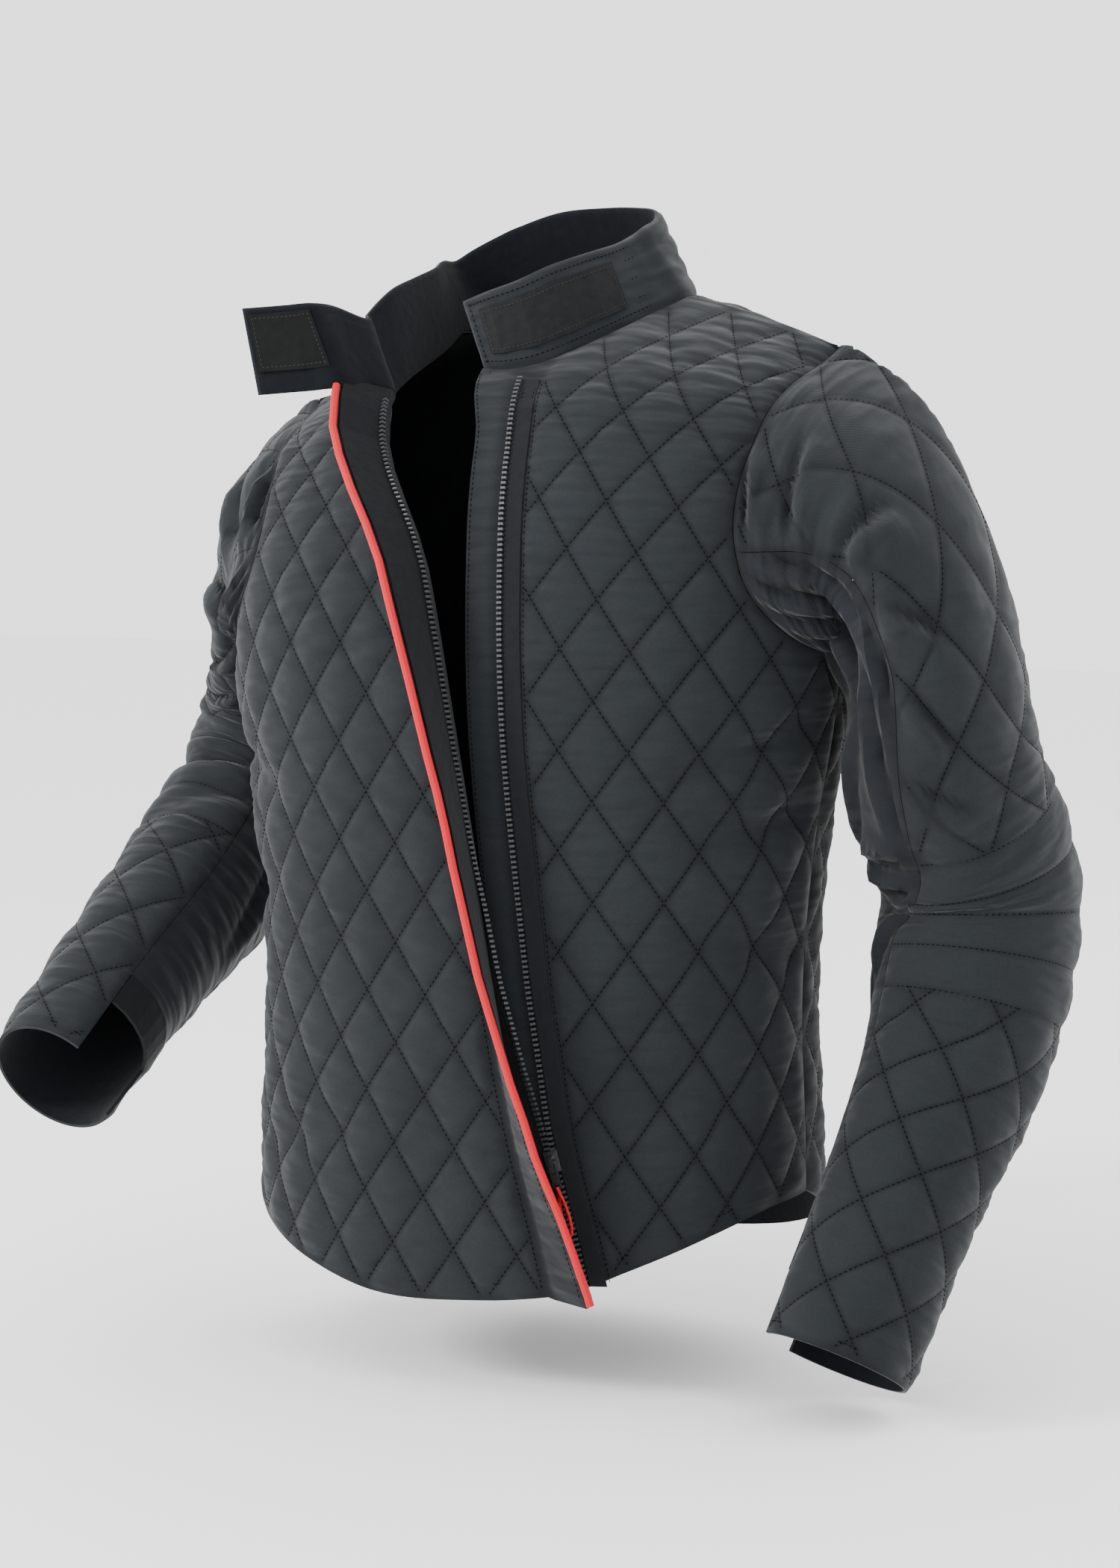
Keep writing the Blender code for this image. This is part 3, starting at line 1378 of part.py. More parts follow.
def main():
    for thing in list(bpy.data.objects):
        bpy.data.objects.remove(thing, do_unlink=True)
    bpy.context.scene.collection.children.link(JACKET)
    outer = cloth_material("quilted_cloth", (0.045, 0.052, 0.056), 0.85)
    plain = cloth_material("plain_twill", (0.038, 0.044, 0.052), 0.82)
    facing = cloth_material("facing_cloth", (0.012, 0.013, 0.018), 0.9)
    tape = cloth_material("zip_tape_cloth", (0.014, 0.015, 0.019), 0.85)
    teeth = cloth_material("zip_teeth", (0.05, 0.05, 0.055), 0.45)
    metal = cloth_material("dark_metal", (0.12, 0.12, 0.13), 0.4, 1.0)
    red = cloth_material("red_piping", (0.78, 0.07, 0.08), 0.6)
    red_cord = cloth_material("red_cord", (0.72, 0.05, 0.05), 0.7)
    loop = cloth_material("loop_tape", (0.028, 0.028, 0.031), 1.0)
    hook = cloth_material("hook_tape", (0.022, 0.022, 0.024), 0.95)
    make_front_left(outer)
    make_front_right(outer)
    make_back(outer)
    for side, word in ((1, "left"), (-1, "right")):
        make_sleeve_outer(side, f"sleeve_{word}_outer", outer)
        make_sleeve_inner(side, f"sleeve_{word}_inner", plain)
        make_cuff_band(side, f"cuff_band_{word}", plain)
    make_facing(facing)
    make_zip_right(tape, teeth)
    make_zip_left(tape, teeth)
    make_piping(red)
    make_collar(outer)
    make_patch("collar_patch_loop", 12.0, 116.0, 0.2, 0.8, 0.6, 0.6 + PATCH_THICK, loop)
    reach = collar_columns()[1][-1]
    back = -(COLLAR_WALL + 0.4)
    make_patch("collar_patch_hook", reach - TAB_LENGTH * 0.9, reach - 5.0, 0.24, 0.92,
               back - PATCH_THICK, back, hook)
    make_slider(metal)
    make_pull(metal)
    make_cord(red_cord)


JACKET = bpy.data.collections.new("fencing_jacket")
main()
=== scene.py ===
"""Looks of the quilted fencing jacket: camera, cloth panels, zip, piping, collar and stitching.

Each panel is cut flat and carried onto the worn form, in millimetres, then made a mesh in metres.
"""

import math
from collections import namedtuple
from functools import lru_cache

import bpy
import numpy as np
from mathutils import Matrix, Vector, noise
from mathutils.geometry import delaunay_2d_cdt


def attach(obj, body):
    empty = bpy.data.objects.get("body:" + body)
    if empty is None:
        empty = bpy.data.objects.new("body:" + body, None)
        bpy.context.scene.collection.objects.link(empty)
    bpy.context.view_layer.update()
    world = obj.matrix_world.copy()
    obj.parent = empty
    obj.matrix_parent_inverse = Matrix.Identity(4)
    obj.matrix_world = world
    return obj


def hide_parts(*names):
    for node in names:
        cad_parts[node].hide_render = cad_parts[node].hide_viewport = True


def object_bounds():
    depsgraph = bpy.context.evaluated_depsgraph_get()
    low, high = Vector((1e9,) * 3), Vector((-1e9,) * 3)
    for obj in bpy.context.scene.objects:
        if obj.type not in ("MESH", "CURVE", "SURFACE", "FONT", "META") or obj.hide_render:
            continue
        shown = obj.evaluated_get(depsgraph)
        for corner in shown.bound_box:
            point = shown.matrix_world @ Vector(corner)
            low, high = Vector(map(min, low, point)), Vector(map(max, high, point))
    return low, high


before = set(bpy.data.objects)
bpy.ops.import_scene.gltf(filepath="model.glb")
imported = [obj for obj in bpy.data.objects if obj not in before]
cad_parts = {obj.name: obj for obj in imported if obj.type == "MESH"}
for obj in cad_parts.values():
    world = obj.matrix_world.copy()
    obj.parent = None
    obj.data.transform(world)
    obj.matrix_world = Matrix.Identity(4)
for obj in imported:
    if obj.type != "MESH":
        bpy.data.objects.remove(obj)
cad_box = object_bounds()

# Studio
# A pale floor under the hem, soft light from three large panels, and a camera at the wearer's
# front left, a little above the waist.
CAMERA_TURN = 25.5
CAMERA_RISE = 6.0
CAMERA_AWAY = 2.65
CAMERA_AIM = Vector((0.018, -0.06, -0.33))
PHOTO_TALL = 2100
FOCAL_PIXELS = 5260.25
FLOOR_BELOW = 0.012
FLOOR_REACH = 6.0
SKY_STRENGTH = 2.2
Lamp = namedtuple("Lamp", "name place size watts")
LAMPS = [
    Lamp("key_light", (-1.9, -2.0, 1.0), 0.7, 92),
    Lamp("side_light", (2.2, -1.0, 1.0), 1.4, 5),
    Lamp("back_light", (0.8, 2.0, 1.4), 1.6, 16),
]


def placed(name, data):
    """Object of some data, linked to the scene."""
    thing = bpy.data.objects.new(name, data)
    bpy.context.scene.collection.objects.link(thing)
    return thing


def look_at(thing, place, target):
    thing.location = place
    thing.rotation_mode = "QUATERNION"
    thing.rotation_quaternion = (target - place).to_track_quat("-Z", "Y")


def add_camera():
    turn, rise = math.radians(CAMERA_TURN), math.radians(CAMERA_RISE)
    back = Vector((math.sin(turn) * math.cos(rise), -math.cos(turn) * math.cos(rise),
                   math.sin(rise)))
    data = bpy.data.cameras.new("camera")
    data.sensor_width = 36.0
    data.lens = FOCAL_PIXELS / PHOTO_TALL * data.sensor_width
    camera = placed("camera", data)
    look_at(camera, CAMERA_AIM + back * CAMERA_AWAY, CAMERA_AIM)
    bpy.context.scene.camera = camera


def add_light(lamp):
    data = bpy.data.lights.new(lamp.name, "AREA")
    data.size = lamp.size
    data.energy = lamp.watts
    thing = placed(lamp.name, data)
    look_at(thing, Vector(lamp.place), CAMERA_AIM)


def plain_material(name, colour, roughness, finish=()):
    """Material of one colour; finish holds further settings of its shader by name."""
    material = bpy.data.materials.new(name)
    material.use_nodes = True
    shader = material.node_tree.nodes["Principled BSDF"]
    shader.inputs["Base Color"].default_value = (*colour, 1)
    shader.inputs["Roughness"].default_value = roughness
    for word, value in dict(finish).items():
        shader.inputs[word].default_value = value
    return material


def add_floor():
    low = cad_box[0].z - FLOOR_BELOW
    mesh = bpy.data.meshes.new("floor")
    corners = [(-1, -1), (1, -1), (1, 1), (-1, 1)]
    mesh.from_pydata([(x * FLOOR_REACH, y * FLOOR_REACH, low) for x, y in corners], [],
                     [(0, 1, 2, 3)])
    mesh.materials.append(plain_material("floor_paper", (0.93, 0.93, 0.93), 0.95))
    placed("floor", mesh)


def add_sky():
    world = bpy.data.worlds.new("studio")
    bpy.context.scene.world = world
    world.use_nodes = True
    backdrop = world.node_tree.nodes["Background"]
    backdrop.inputs["Color"].default_value = (1.0, 1.0, 1.0, 1)
    backdrop.inputs["Strength"].default_value = SKY_STRENGTH


add_camera()
add_floor()
add_sky()
for lamp in LAMPS:
    add_light(lamp)


# Body
# Two fronts and a back, cut from dark cloth quilted in diamonds to a fleece lining. The left front
# ends at the zip; the right front turns out past it as a stiff flap.
MM = 0.001
WALL = 3.4
PUFF = 3.2
SEAM_GAP = 0.3
BODY_DIAMOND = (46.0, 66.0)
ZIP_SET_IN = 24.0
TOP_SET_IN = 9.0
FLAP = 40.0
FLAP_BEND = 5.0
FRONT_LIFT = 3.7
FRONT_PRESS = -4.0
LIFT_FADE = 70.0
NECK_HALF = 86.0
NECK_FRONT = 70.0
NECK_BACK = 58.0
RIGHT_NECK_END = 72.0
FLAP_SLANT = 0.6
FLAP_DIP = 4.0
RIGHT_SAG = 26.0
SAG_MORE = 0.4
SAG_RUN = 110.0
SAG_MORE_FROM = 100.0
SAG_MORE_RUN = 90.0
SAG_END = 240.0
HEM_FRONT = 686.0
HEM_SIDE = 634.0
SHOULDER_END = 201.0
SIDE_FADE = 35.0
Level = namedtuple("Level", "drop half side_y mid_y mid_z side_z square")
FRONT_ROWS = [
    Level(0, 196, -4, -4, 5, -37, 2.0),
    Level(75, 200, -35, -118, -52, -76, 2.2),
    Level(140, 209, -48, -155, -106, -125, 2.25),
    Level(220, 217, -52, -177, -182, -195, 2.3),
    Level(300, 215, -52, -186, -261, -268, 2.3),
    Level(400, 200, -52, -188, -360, -362, 2.3),
    Level(500, 192, -52, -188, -460, -460, 2.3),
    Level(600, 195, -52, -192, -560, -560, 2.3),
    Level(700, 197, -52, -196, -660, -660, 2.3),
]
BACK_ROWS = [
    Level(0, 196, -4, -4, 5, -37, 2.0),
    Level(64, 202, -30, 61, -1, -70, 2.2),
    Level(144, 211, -48, 84, -94, -127, 2.3),
    Level(220, 217, -52, 90, -176, -195, 2.3),
    Level(300, 215, -52, 84, -256, -268, 2.3),
    Level(400, 200, -52, 72, -356, -362, 2.3),
    Level(500, 192, -52, 70, -456, -460, 2.3),
    Level(600, 195, -52, 80, -556, -560, 2.3),
    Level(700, 197, -52, 86, -656, -660, 2.3),
]
Opening = namedtuple("Opening", "drop zip_left root_right flap_turn tape_turn tape_reach")
OPENING = [
    Opening(72, 16.5, -84, 110, 98, 21),
    Opening(100, 19.5, -78, 114, 100, 22),
    Opening(130, 22.3, -71, 116, 98, 22),
    Opening(160, 24.2, -58, 116, 90, 23),
    Opening(185, 25.8, -44, 115, 88, 23),
    Opening(215, 28.1, -30, 111, 88, 23),
    Opening(250, 30.3, -19.5, 105, 87, 24),
    Opening(290, 32.6, -10.5, 97, 85, 24),
    Opening(330, 35.4, -2.4, 90, 82, 24),
    Opening(380, 40.2, 6.6, 83, 76, 24),
    Opening(435, 46.3, 16, 79, 62, 24),
    Opening(490, 52.6, 24.5, 72, 47, 24),
    Opening(540, 61, 34, 63, 26, 24),
    Opening(570, 66, 41, 58, 12, 24),
    Opening(600, 72.7, 48.5, 54, 0, 24),
    Opening(650, 87, 62.8, 45, 0, 24),
    Opening(700, 99.5, 75.5, 40, 0, 24),
]
Edge = namedtuple("Edge", "along drop")
LEFT_HEM = [
    Edge(60, 690), Edge(100, 684), Edge(126, 674), Edge(160, 661), Edge(200, 647),
    Edge(240, 637), Edge(290, 634),
]
RIGHT_HEM = [
    Edge(-98, 686), Edge(-29, 695), Edge(53, 698), Edge(126, 684), Edge(180, 669),
    Edge(240, 652), Edge(290, 634),
]
BACK_HEM = [
    Edge(0, 700), Edge(70, 697), Edge(140, 684), Edge(200, 662), Edge(240, 642), Edge(262, 634),
]
FRONT_ARMHOLE = [
    Edge(201, 0), Edge(196, 30), Edge(191, 65), Edge(186, 105), Edge(180, 145), Edge(181, 185),
    Edge(194, 222), Edge(224, 250), Edge(262, 264),
]
BACK_ARMHOLE = [
    Edge(201, 0), Edge(197, 30), Edge(193, 65), Edge(190, 105), Edge(189, 145), Edge(192, 185),
    Edge(200, 222), Edge(218, 250), Edge(234, 264),
]
UNDERARM = 268.0
Fold = namedtuple("Fold", "first second turn long wide deep")
BODY_FOLDS = [
    Fold(205, 330, -20, 60, 12, -7),
    Fold(232, 380, -12, 62, 13, -8),
    Fold(236, 470, 12, 70, 14, -7),
    Fold(-215, 350, 18, 60, 13, -7),
    Fold(-238, 450, -10, 66, 14, -7),
    Fold(150, 560, 15, 60, 14, -4),
    Fold(-120, 600, -15, 62, 14, -4),
]
BACK_FOLDS = [
    Fold(120, 330, 25, 80, 15, -6),
    Fold(-130, 350, -25, 80, 15, -6),
    Fold(60, 430, 8, 90, 15, -6),
    Fold(-40, 490, -6, 90, 15, -6),
]
CLOTH_WALL = 2.4
CLOTH_STEP = 11
EDGE_FINE = 4.0
PILLOW_POWER = 0.55
SEAM_SHOULDER = 13.0
SEAM_POWER = 0.6
CREASE_LEAST = 0.25
FOLD_SHOULDER = 5.0
# Painted shade: puff share below which the colour darkens, fold depth for full shade, and
# strongest darkening.
DARK_UNTIL = 0.42
DARK_FOLD = 2.2
DARKEST = 0.62
SHARP_FROM = 50.0
GRID_CLEAR = 1.7
VALLEY_PLACE, VALLEY_WIDE, VALLEY_DEEP, FOLD_ENDS = 1.25, 0.55, 0.85, 3.5
NECK_SQUARE = 0.7
BAND_WIDE = 17.0
BAND_PUFF = 0.35
FLAP_PUFF = 0.2
FREE_EDGE_ROWS = (2.2, 9.2)
ZIP_ROWS = (6.0, 13.5, 17.5)
FLAP_ROWS = (-3.0, FLAP - 3.5)
ROW_STEP = 6
EDGE_CUTS = 50
FLAP_CUTS = 8
STITCH_LIFT = 0.55
STITCH_PITCH = 3.6
STITCH_SIZES = (2.7, 0.75, 0.55)
HEM_INSET = 11.0


def spline(keys, values, at):
    """Smooth curve through the values, straight beyond its ends."""
    last = len(keys) - 1

    def slope(i):
        lo, hi = max(i - 1, 0), min(i + 1, last)
        return (values[hi] - values[lo]) / (keys[hi] - keys[lo])

    if at <= keys[0]:
        return values[0] + slope(0) * (at - keys[0])
    if at >= keys[last]:
        return values[last] + slope(last) * (at - keys[last])
    i = max(j for j in range(last) if keys[j] <= at)
    span = keys[i + 1] - keys[i]
    u = (at - keys[i]) / span
    return ((2 * u ** 3 - 3 * u ** 2 + 1) * values[i] + (u ** 3 - 2 * u ** 2 + u) * span * slope(i)
            + (3 * u ** 2 - 2 * u ** 3) * values[i + 1] + (u ** 3 - u ** 2) * span * slope(i + 1))


def read(rows, column, at):
    return spline([row[0] for row in rows], [getattr(row, column) for row in rows], at)


def ease(u):
    u = min(max(u, 0.0), 1.0)
    return u * u * (3 - 2 * u)


def fold_depth(folds, first, second):
    """Sum of the folds' heights at a place on the flat pattern."""
    total = 0.0
    for fold in folds:
        turn = math.radians(fold.turn)
        dx, dy = first - fold.first, second - fold.second
        along = dx * math.cos(turn) + dy * math.sin(turn)
        across = dy * math.cos(turn) - dx * math.sin(turn)
        if abs(along) < 2 * fold.long and abs(across) < 3 * fold.wide:
            total += fold.deep * math.exp(-(across / fold.wide) ** 2 - (along / fold.long) ** 4)
    return total


@lru_cache(maxsize=None)
def body_row(face, drop):
    """Points of one row from the centre line to the side seam, with their distances along it."""
    rows = FRONT_ROWS if face == "front" else BACK_ROWS
    half, side_y, mid_y, mid_z, side_z, square = (
        read(rows, name, drop) for name in Level._fields[1:])
    points = []
    for step in range(33):
        turn = math.pi / 2 * step / 32
        out = math.sin(turn) ** (2 / square)
        deep = math.cos(turn) ** (2 / square) if step < 32 else 0.0
        points.append(Vector((half * out, side_y + (mid_y - side_y) * deep,
                              mid_z + (side_z - mid_z) * out * out)))
    lengths = [0.0]
    for one, two in zip(points, points[1:]):
        lengths.append(lengths[-1] + (two - one).length)
    return points, lengths


def bare_body(face, along, drop):
    """Point of the body's form, without folds or the lift at the opening."""
    points, lengths = body_row(face, round(drop, 3))
    reach = abs(along)
    if reach >= lengths[-1]:
        step = (points[-1] - points[-2]).normalized()
        point = points[-1] + step * (reach - lengths[-1])
    else:
        i = max(j for j in range(32) if lengths[j] <= reach)
        share = (reach - lengths[i]) / (lengths[i + 1] - lengths[i])
        point = points[i].lerp(points[i + 1], share)
    if along < 0:
        more = SAG_MORE * ease((reach - SAG_MORE_FROM) / SAG_MORE_RUN)
        sag = RIGHT_SAG * (ease(reach / SAG_RUN) + more) * (1 - ease(drop / SAG_END))
        return Vector((-point.x, point.y, point.z - sag))
    return point


def side_length(face, drop):
    return body_row(face, round(drop, 3))[1][-1]


def normal_of(surface, first, second, step=1.0):
    """Outward normal of a surface function whose axes run with the cloth."""
    across = surface(first + step, second) - surface(first - step, second)
    down = surface(first, second + step) - surface(first, second - step)
    return down.cross(across).normalized()


def body_normal(face, along, drop):
    normal = normal_of(lambda a, d: bare_body(face, a, d), along, max(drop, 3.0), 2.0)
    return normal if face == "front" else -normal


def raised_body(face, along, drop, lift):
    return bare_body(face, along, drop) + body_normal(face, along, drop) * lift


def side_fade(face, along, drop):
    """Folds die out towards the side seam."""
    return ease((side_length(face, drop) - abs(along)) / SIDE_FADE)


def front_left_surface(along, drop):
    near = ease((along - read(OPENING, "zip_left", drop)) / LIFT_FADE)
    swell = fold_depth(BODY_FOLDS, along, drop) * near * side_fade("front", along, drop)
    return raised_body("front", along, drop, FRONT_PRESS * (1 - near) + swell)


def back_surface(along, drop):
    swell = fold_depth(BACK_FOLDS, along, drop) * side_fade("back", along, drop)
    return raised_body("back", along, drop, swell)


def flap_root(drop):
    """Distance from the centre line of the fold where the right flap turns out."""
    return read(OPENING, "root_right", max(drop, RIGHT_NECK_END))


def right_sheet(turn_name, lift, measure=0.0):
    """Surface of cloth that lies on the right front and turns out past the flap's root.

    lift is its height over the outer face, and distances past the root are taken at the height
    given as measure, so that sheets of one measure stay parallel.
    """
    def surface(past, drop):
        root = flap_root(drop)
        if past <= 0:
            near = ease(-past / LIFT_FADE)
            raised = FRONT_LIFT * (1 - near) * ease(drop / (RIGHT_NECK_END - 4))
            along = root + past
            swell = fold_depth(BODY_FOLDS, along, drop) * near * side_fade("front", along, drop)
            return raised_body("front", along, drop, raised + swell + lift)
        normal = body_normal("front", root, drop)
        along = bare_body("front", root + 1, drop) - bare_body("front", root - 1, drop)
        along.normalize()
        turn = math.radians(max(read(OPENING, turn_name, drop), 0.5))
        curved = min(past, (FLAP_BEND - measure) * turn)
        angle = curved / (FLAP_BEND - measure)
        radius = FLAP_BEND - lift
        point = bare_body("front", root, drop) + normal * (FRONT_LIFT + lift)
        point += along * (radius * math.sin(angle)) + normal * (radius * (1 - math.cos(angle)))
        return point + (along * math.cos(angle) + normal * math.sin(angle)) * (past - curved)
    return surface


front_right_surface = right_sheet("flap_turn", 0.0)


def spread(points, step):
    """Points at even steps along a bent line of flat points, with both ends kept."""
    points = [Vector(p) for p in points]
    lengths = [0.0]
    for one, two in zip(points, points[1:]):
        lengths.append(lengths[-1] + (two - one).length)
    count = max(1, round(lengths[-1] / step))
    result = []
    for k in range(count + 1):
        at = lengths[-1] * k / count
        i = max(j for j in range(len(points) - 1) if lengths[j] <= at + 1e-9)
        share = (at - lengths[i]) / max(lengths[i + 1] - lengths[i], 1e-9)
        result.append(points[i].lerp(points[i + 1], share))
    return result


def armhole_edge(face, k):
    """Flat point of the armhole, k from 0 at the shoulder to 1 at the side seam."""
    table = FRONT_ARMHOLE if face == "front" else BACK_ARMHOLE
    keys = [i / len(table) for i in range(len(table))] + [1.0]
    alongs = [row.along for row in table] + [side_length(face, UNDERARM)]
    drops = [row.drop for row in table] + [UNDERARM]
    return Vector((spline(keys, alongs, k), spline(keys, drops, k)))


def hem_drop(table, along, reach):
    """Drop of the curved hem, whose table is stretched to end at the side seam."""
    scale = table[-1].along / reach
    return read(table, "drop", min(along * scale, table[-1].along))


def within(outline, flats):
    """True for each flat point that is within a closed outline."""
    x, y = flats[:, 0], flats[:, 1]
    hit = np.zeros(len(flats), bool)
    ahead = np.roll(outline, -1, axis=0)
    for (ax, ay), (bx, by) in zip(outline, ahead):
        if ay != by:
            crosses = ((ay > y) != (by > y)) & (x < ax + (y - ay) / (by - ay) * (bx - ax))
            hit ^= crosses
    return hit


def edge_distances(outline, flats):
    best = np.full(len(flats), 1e9)
    ahead = np.roll(outline, -1, axis=0)
    for a, b in zip(outline, ahead):
        side = b - a
        share = np.clip(((flats - a) @ side) / max(side @ side, 1e-9), 0, 1)
        best = np.minimum(best, np.hypot(*(flats - a - share[:, None] * side).T))
    return best


def finer(outline, step):
    """The outline with its long edges divided."""
    points = []
    for one, two in zip(outline, outline[1:] + outline[:1]):
        count = max(1, round((Vector(two) - Vector(one)).length / step))
        points += [Vector(one).lerp(Vector(two), k / count) for k in range(count)]
    return points


def lattice(outline, size, origin, steps):
    """Flat points on lines parallel to both families of quilting."""
    width, height = size
    xs, ys = [p[0] for p in outline], [p[1] for p in outline]
    points = []
    rows = range(math.floor((min(ys) - origin[1]) / height * 2 * steps),
                 math.ceil((max(ys) - origin[1]) / height * 2 * steps) + 1)
    columns = range(math.floor((min(xs) - origin[0]) / width * 2 * steps),
                    math.ceil((max(xs) - origin[0]) / width * 2 * steps) + 1)
    for j in rows:
        for i in columns:
            if (i + j) % 2 == 0:
                points.append((origin[0] + i * width / (2 * steps),
                               origin[1] + j * height / (2 * steps)))
    return points


def diamond_height(size, origin):
    """Height of the padding over the quilting lines, as a share, at a flat point."""
    width, height = size

    def rise(x, y):
        u = (x - origin[0]) / width + (y - origin[1]) / height
        v = (x - origin[0]) / width - (y - origin[1]) / height
        return (np.abs(np.sin(np.pi * u)) * np.abs(np.sin(np.pi * v))) ** PILLOW_POWER
    return rise


def crumple(x, y, seed):
    """Small creases that run across the cloth."""
    value = noise.noise(Vector((x / 26.0 + seed, y / 7.0, seed)))
    value += 0.6 * noise.noise(Vector((x / 11.0, y / 4.2 + seed, seed * 2)))
    return value


def cut_cloth(outline, inside_points):
    """Triangles of a flat piece, through its outline and the points within it."""
    edge = finer([tuple(p) for p in outline], EDGE_FINE)
    shape = np.array([tuple(p) for p in edge])
    grid = np.array(inside_points)
    grid = grid[within(shape, grid)]
    grid = grid[edge_distances(shape, grid) > GRID_CLEAR]
    flats = [Vector(p) for p in edge] + [Vector(p) for p in grid]
    ring = [(i, (i + 1) % len(edge)) for i in range(len(edge))]
    cut = delaunay_2d_cdt(flats, ring, [], 1, 0.01, True)
    points = np.array([tuple(p) for p in cut[0]])
    faces = np.array(cut[2])
    faces = faces[within(shape, points[faces].mean(axis=1))]
    return points, faces, edge_distances(shape, points)


def vertex_normals(points, faces):
    a, b, c = (points[faces[:, k]] for k in range(3))
    away = np.cross(b - a, c - a)
    total = np.zeros_like(points)
    for k in range(3):
        np.add.at(total, faces[:, k], away)
    return total / np.maximum(np.linalg.norm(total, axis=1), 1e-9)[:, None]


def fold_lift(points, folds):
    """Listed folds: a rounded ridge with a sharper valley beside it, from end to end."""
    total = np.zeros(len(points))
    for x0, y0, x1, y1, wide, deep in folds:
        start, way = np.array((x0, y0)), np.array((x1 - x0, y1 - y0))
        share = (points - start) @ way / (way @ way)
        across = (points - start) @ np.array((-way[1], way[0])) / math.hypot(*way)
        ends = np.clip(share * FOLD_ENDS, 0, 1) * np.clip((1 - share) * FOLD_ENDS, 0, 1)
        ridge = np.exp(-(across / wide) ** 2)
        valley = np.exp(-((across - VALLEY_PLACE * wide) / (VALLEY_WIDE * wide)) ** 2)
        total += deep * (ridge - VALLEY_DEEP * valley) * ends
    return total


def cloth_object(name, outer, inner, faces, lining, flats, hollow, materials):
    """Mesh of the points of a panel's outside and lining, with its cut as UVs.

    lining picks the lining's faces from the list, and the painted shade, 0 to 1 where the cloth is
    pressed in, darkens its colour there.
    """
    mesh = bpy.data.meshes.new(name)
    mesh.from_pydata((np.concatenate([outer, inner]) * MM).tolist(), [], faces)
    layer = mesh.uv_layers.new(name="cut")
    loops = np.zeros(len(mesh.loops), np.int32)
    mesh.loops.foreach_get("vertex_index", loops)
    layer.data.foreach_set("uv", (flats[loops % len(outer)] * MM).ravel())
    # Painted shade, stored per point for the material to darken the colour.
    shade = mesh.attributes.new("hollow", "FLOAT", "POINT")
    shade.data.foreach_set("value", np.tile(hollow * DARKEST, 2).astype(np.float32))
    for material in materials:
        mesh.materials.append(material)
    marks = np.zeros(len(faces), np.int32)
    marks[lining] = 1
    mesh.polygons.foreach_set("material_index", marks)
    mesh.shade_smooth()
    thing = placed(name, mesh)
    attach(thing, "jacket")
    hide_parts(name.replace("_cloth", ""))
    return thing


def sewn_piece(name, outline, grid, surface, rise, materials, middle,
               height=PUFF, crease=1.0, seed=1.0, folds=()):
    """A quilted or plain panel, laid on its surface and puffed or folded over it."""
    points, faces, edge = cut_cloth(outline, grid)
    base = np.array([tuple(surface(x, y)) for x, y in points])
    away = vertex_normals(base, faces)
    if (away * (base - np.array(middle))).sum() < 0:
        faces = faces[:, ::-1]
        away = -away
    fade = np.clip(edge / SEAM_SHOULDER, 0, 1) ** SEAM_POWER
    pillow = rise(points[:, 0], points[:, 1]) * fade
    small = np.array([crumple(x, y, seed) for x, y in points])
    lift = height * pillow + crease * small * np.maximum(pillow, CREASE_LEAST) * fade
    folded = fold_lift(points, folds) * np.clip(edge / FOLD_SHOULDER, 0, 1)
    outer = base + away * (lift + folded)[:, None]
    inner = base - away * (CLOTH_WALL - np.minimum(folded, 0))[:, None]
    count = len(points)
    every = faces.tolist() + (faces[:, ::-1] + count).tolist()
    sides = {(a, b) for f in faces.tolist() for a, b in zip(f, f[1:] + f[:1])}
    rim = sorted((a, b) for a, b in sides if (b, a) not in sides)
    every += [(b, a, a + count) for a, b in rim] + [(b, a + count, b + count) for a, b in rim]
    # Painted shade: the colour darkens where the puff is low, in the quilting valleys, towards the
    # seams and on flat cloth, and in the folds' valleys.
    hollow = np.maximum(1 - np.clip(pillow / DARK_UNTIL, 0, 1),
                        np.clip(-folded / DARK_FOLD, 0, 1))
    thing = cloth_object(name, outer, inner, every, slice(len(faces), 2 * len(faces)), points,
                         hollow, materials)
    thing.data.set_sharp_from_angle(angle=math.radians(SHARP_FROM))
    return thing


def join(tree, nodes, links):
    """Links sockets, each pair written as node.socket > node.socket."""
    for pair in links:
        (start, out), (end, into) = (side.split(".") for side in pair.split(" > "))
        tree.links.new(nodes[start].outputs[out], nodes[end].inputs[into])


def textured(material, parts, links):
    """Feeds a material's shader with texture nodes, given by type with their settings."""
    tree = material.node_tree
    nodes = {"shader": tree.nodes["Principled BSDF"]}
    for key, (kind, settings) in parts.items():
        node = nodes[key] = tree.nodes.new("ShaderNode" + kind)
        for word, value in settings.items():
            if hasattr(node, word):
                setattr(node, word, value)
            else:
                node.inputs[word].default_value = value
    join(tree, nodes, links)
    return material


def blend(colour, pale):
    return "Mix", {"data_type": "RGBA", "A": (*colour, 1), "B": (*pale, 1)}


def relief(strength, height):
    return "Bump", {"Strength": strength, "Distance": height}


